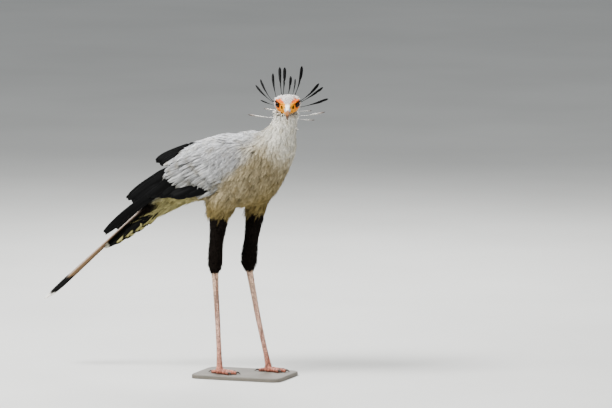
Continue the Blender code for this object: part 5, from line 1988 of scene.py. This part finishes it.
class BIRD_OT_stage(bpy.types.Operator):
    """Build the pale floor, the soft studio light and the camera at the photograph's view"""

    bl_idname = "bird.stage"
    bl_label = "Stage, light and camera"

    def execute(self, context):
        scene = bpy.context.scene
        radius = settings().floor_radius
        turns = np.linspace(0, 2 * math.pi, 65)[:-1]
        ring = [(radius * math.cos(a), radius * math.sin(a), -0.0005) for a in turns]
        disc = mesh_of("floor", ring, [tuple(range(64))])
        floor = piece_of("floor", disc, material("floor", floor_material))
        base = frame["nodes"]["stand_base"]
        base.data.materials.clear()
        base.data.materials.append(material("stand", stand_material))
        right, up, back = view_axes()
        across, high = (v * METRES_PER_PIXEL for v in VIEW_CENTRE)
        aim = STANCE + right * across + up * high
        camera = bpy.data.objects.new("view_camera", bpy.data.cameras.new("view_camera"))
        scene.collection.objects.link(camera)
        camera.location = aim + back * VIEW_DISTANCE
        camera.rotation_euler = Matrix((right, up, back)).transposed().to_euler()
        camera.data.sensor_fit = "HORIZONTAL"
        camera.data.sensor_width = SENSOR_WIDTH
        camera.data.lens = SENSOR_WIDTH * VIEW_DISTANCE / (PICTURE_WIDTH * METRES_PER_PIXEL)
        camera.data.clip_end = 200.0
        scene.camera = camera
        centre = Vector((0, 0, 0.55))
        power = settings().key_power
        for name, spot, size, share in (
            ("key_light", centre - right * 2.2 + Vector((0, 0, 3.4)) + back * 1.6, 1.5, 1.0),
            ("fill_light", centre + right * 3.0 + Vector((0, 0, 1.6)) + back * 3.0, 3.0, 0.20),
            ("rim_light", centre + right * 0.5 + Vector((0, 0, 3.0)) - back * 3.0, 2.0, 0.45),
        ):
            lamp = bpy.data.lights.new(name, "AREA")
            lamp.energy = power * share
            lamp.size = size
            obj = bpy.data.objects.new(name, lamp)
            obj.location = spot
            obj.rotation_euler = aimed(spot, centre)
            scene.collection.objects.link(obj)
        world = bpy.data.worlds.new("studio_air")
        world.use_nodes = True
        world.node_tree.nodes["Background"].inputs["Color"].default_value = (0.92, 0.96, 1.0, 1)
        world.node_tree.nodes["Background"].inputs["Strength"].default_value = 0.42
        scene.world = world
        return {"FINISHED"}


class BIRD_PT_panel(bpy.types.Panel):
    """Lists the bird's builders in the sidebar"""

    bl_idname = "BIRD_PT_panel"
    bl_label = "Secretary Bird"
    bl_space_type = "VIEW_3D"
    bl_region_type = "UI"
    bl_category = "Secretary Bird"

    def draw(self, context):
        layout = self.layout
        for name in BirdSettings.__annotations__:
            layout.prop(context.scene.secretary_bird, name)
        for operator in OPERATORS:
            layout.operator(operator.bl_idname)


OPERATORS = (
    BIRD_OT_stage,
    BIRD_OT_skin,
    BIRD_OT_coat,
    BIRD_OT_wings,
    BIRD_OT_tail,
    BIRD_OT_head,
    BIRD_OT_bill,
    BIRD_OT_eyes,
    BIRD_OT_crest,
    BIRD_OT_legs,
)


def register():
    for item in (BirdSettings, *OPERATORS, BIRD_PT_panel):
        bpy.utils.register_class(item)
    bpy.types.Scene.secretary_bird = bpy.props.PointerProperty(type=BirdSettings)


def unregister():
    del bpy.types.Scene.secretary_bird
    for item in (BIRD_PT_panel, *reversed(OPERATORS), BirdSettings):
        bpy.utils.unregister_class(item)


def clear_blades():
    """Removes the blades that the coat was grown from."""
    for group in list(bpy.data.collections):
        if group.name.startswith("blades_"):
            for obj in list(group.objects):
                drop(obj)
            bpy.data.collections.remove(group)


def main():
    register()
    bpy.ops.bird.stage()
    bpy.ops.bird.skin()
    bpy.ops.bird.coat()
    bpy.ops.bird.wings()
    bpy.ops.bird.tail()
    bpy.ops.bird.head()
    bpy.ops.bird.bill()
    bpy.ops.bird.eyes()
    bpy.ops.bird.crest()
    bpy.ops.bird.legs()
    clear_blades()


if __name__ == "__main__":
    main()
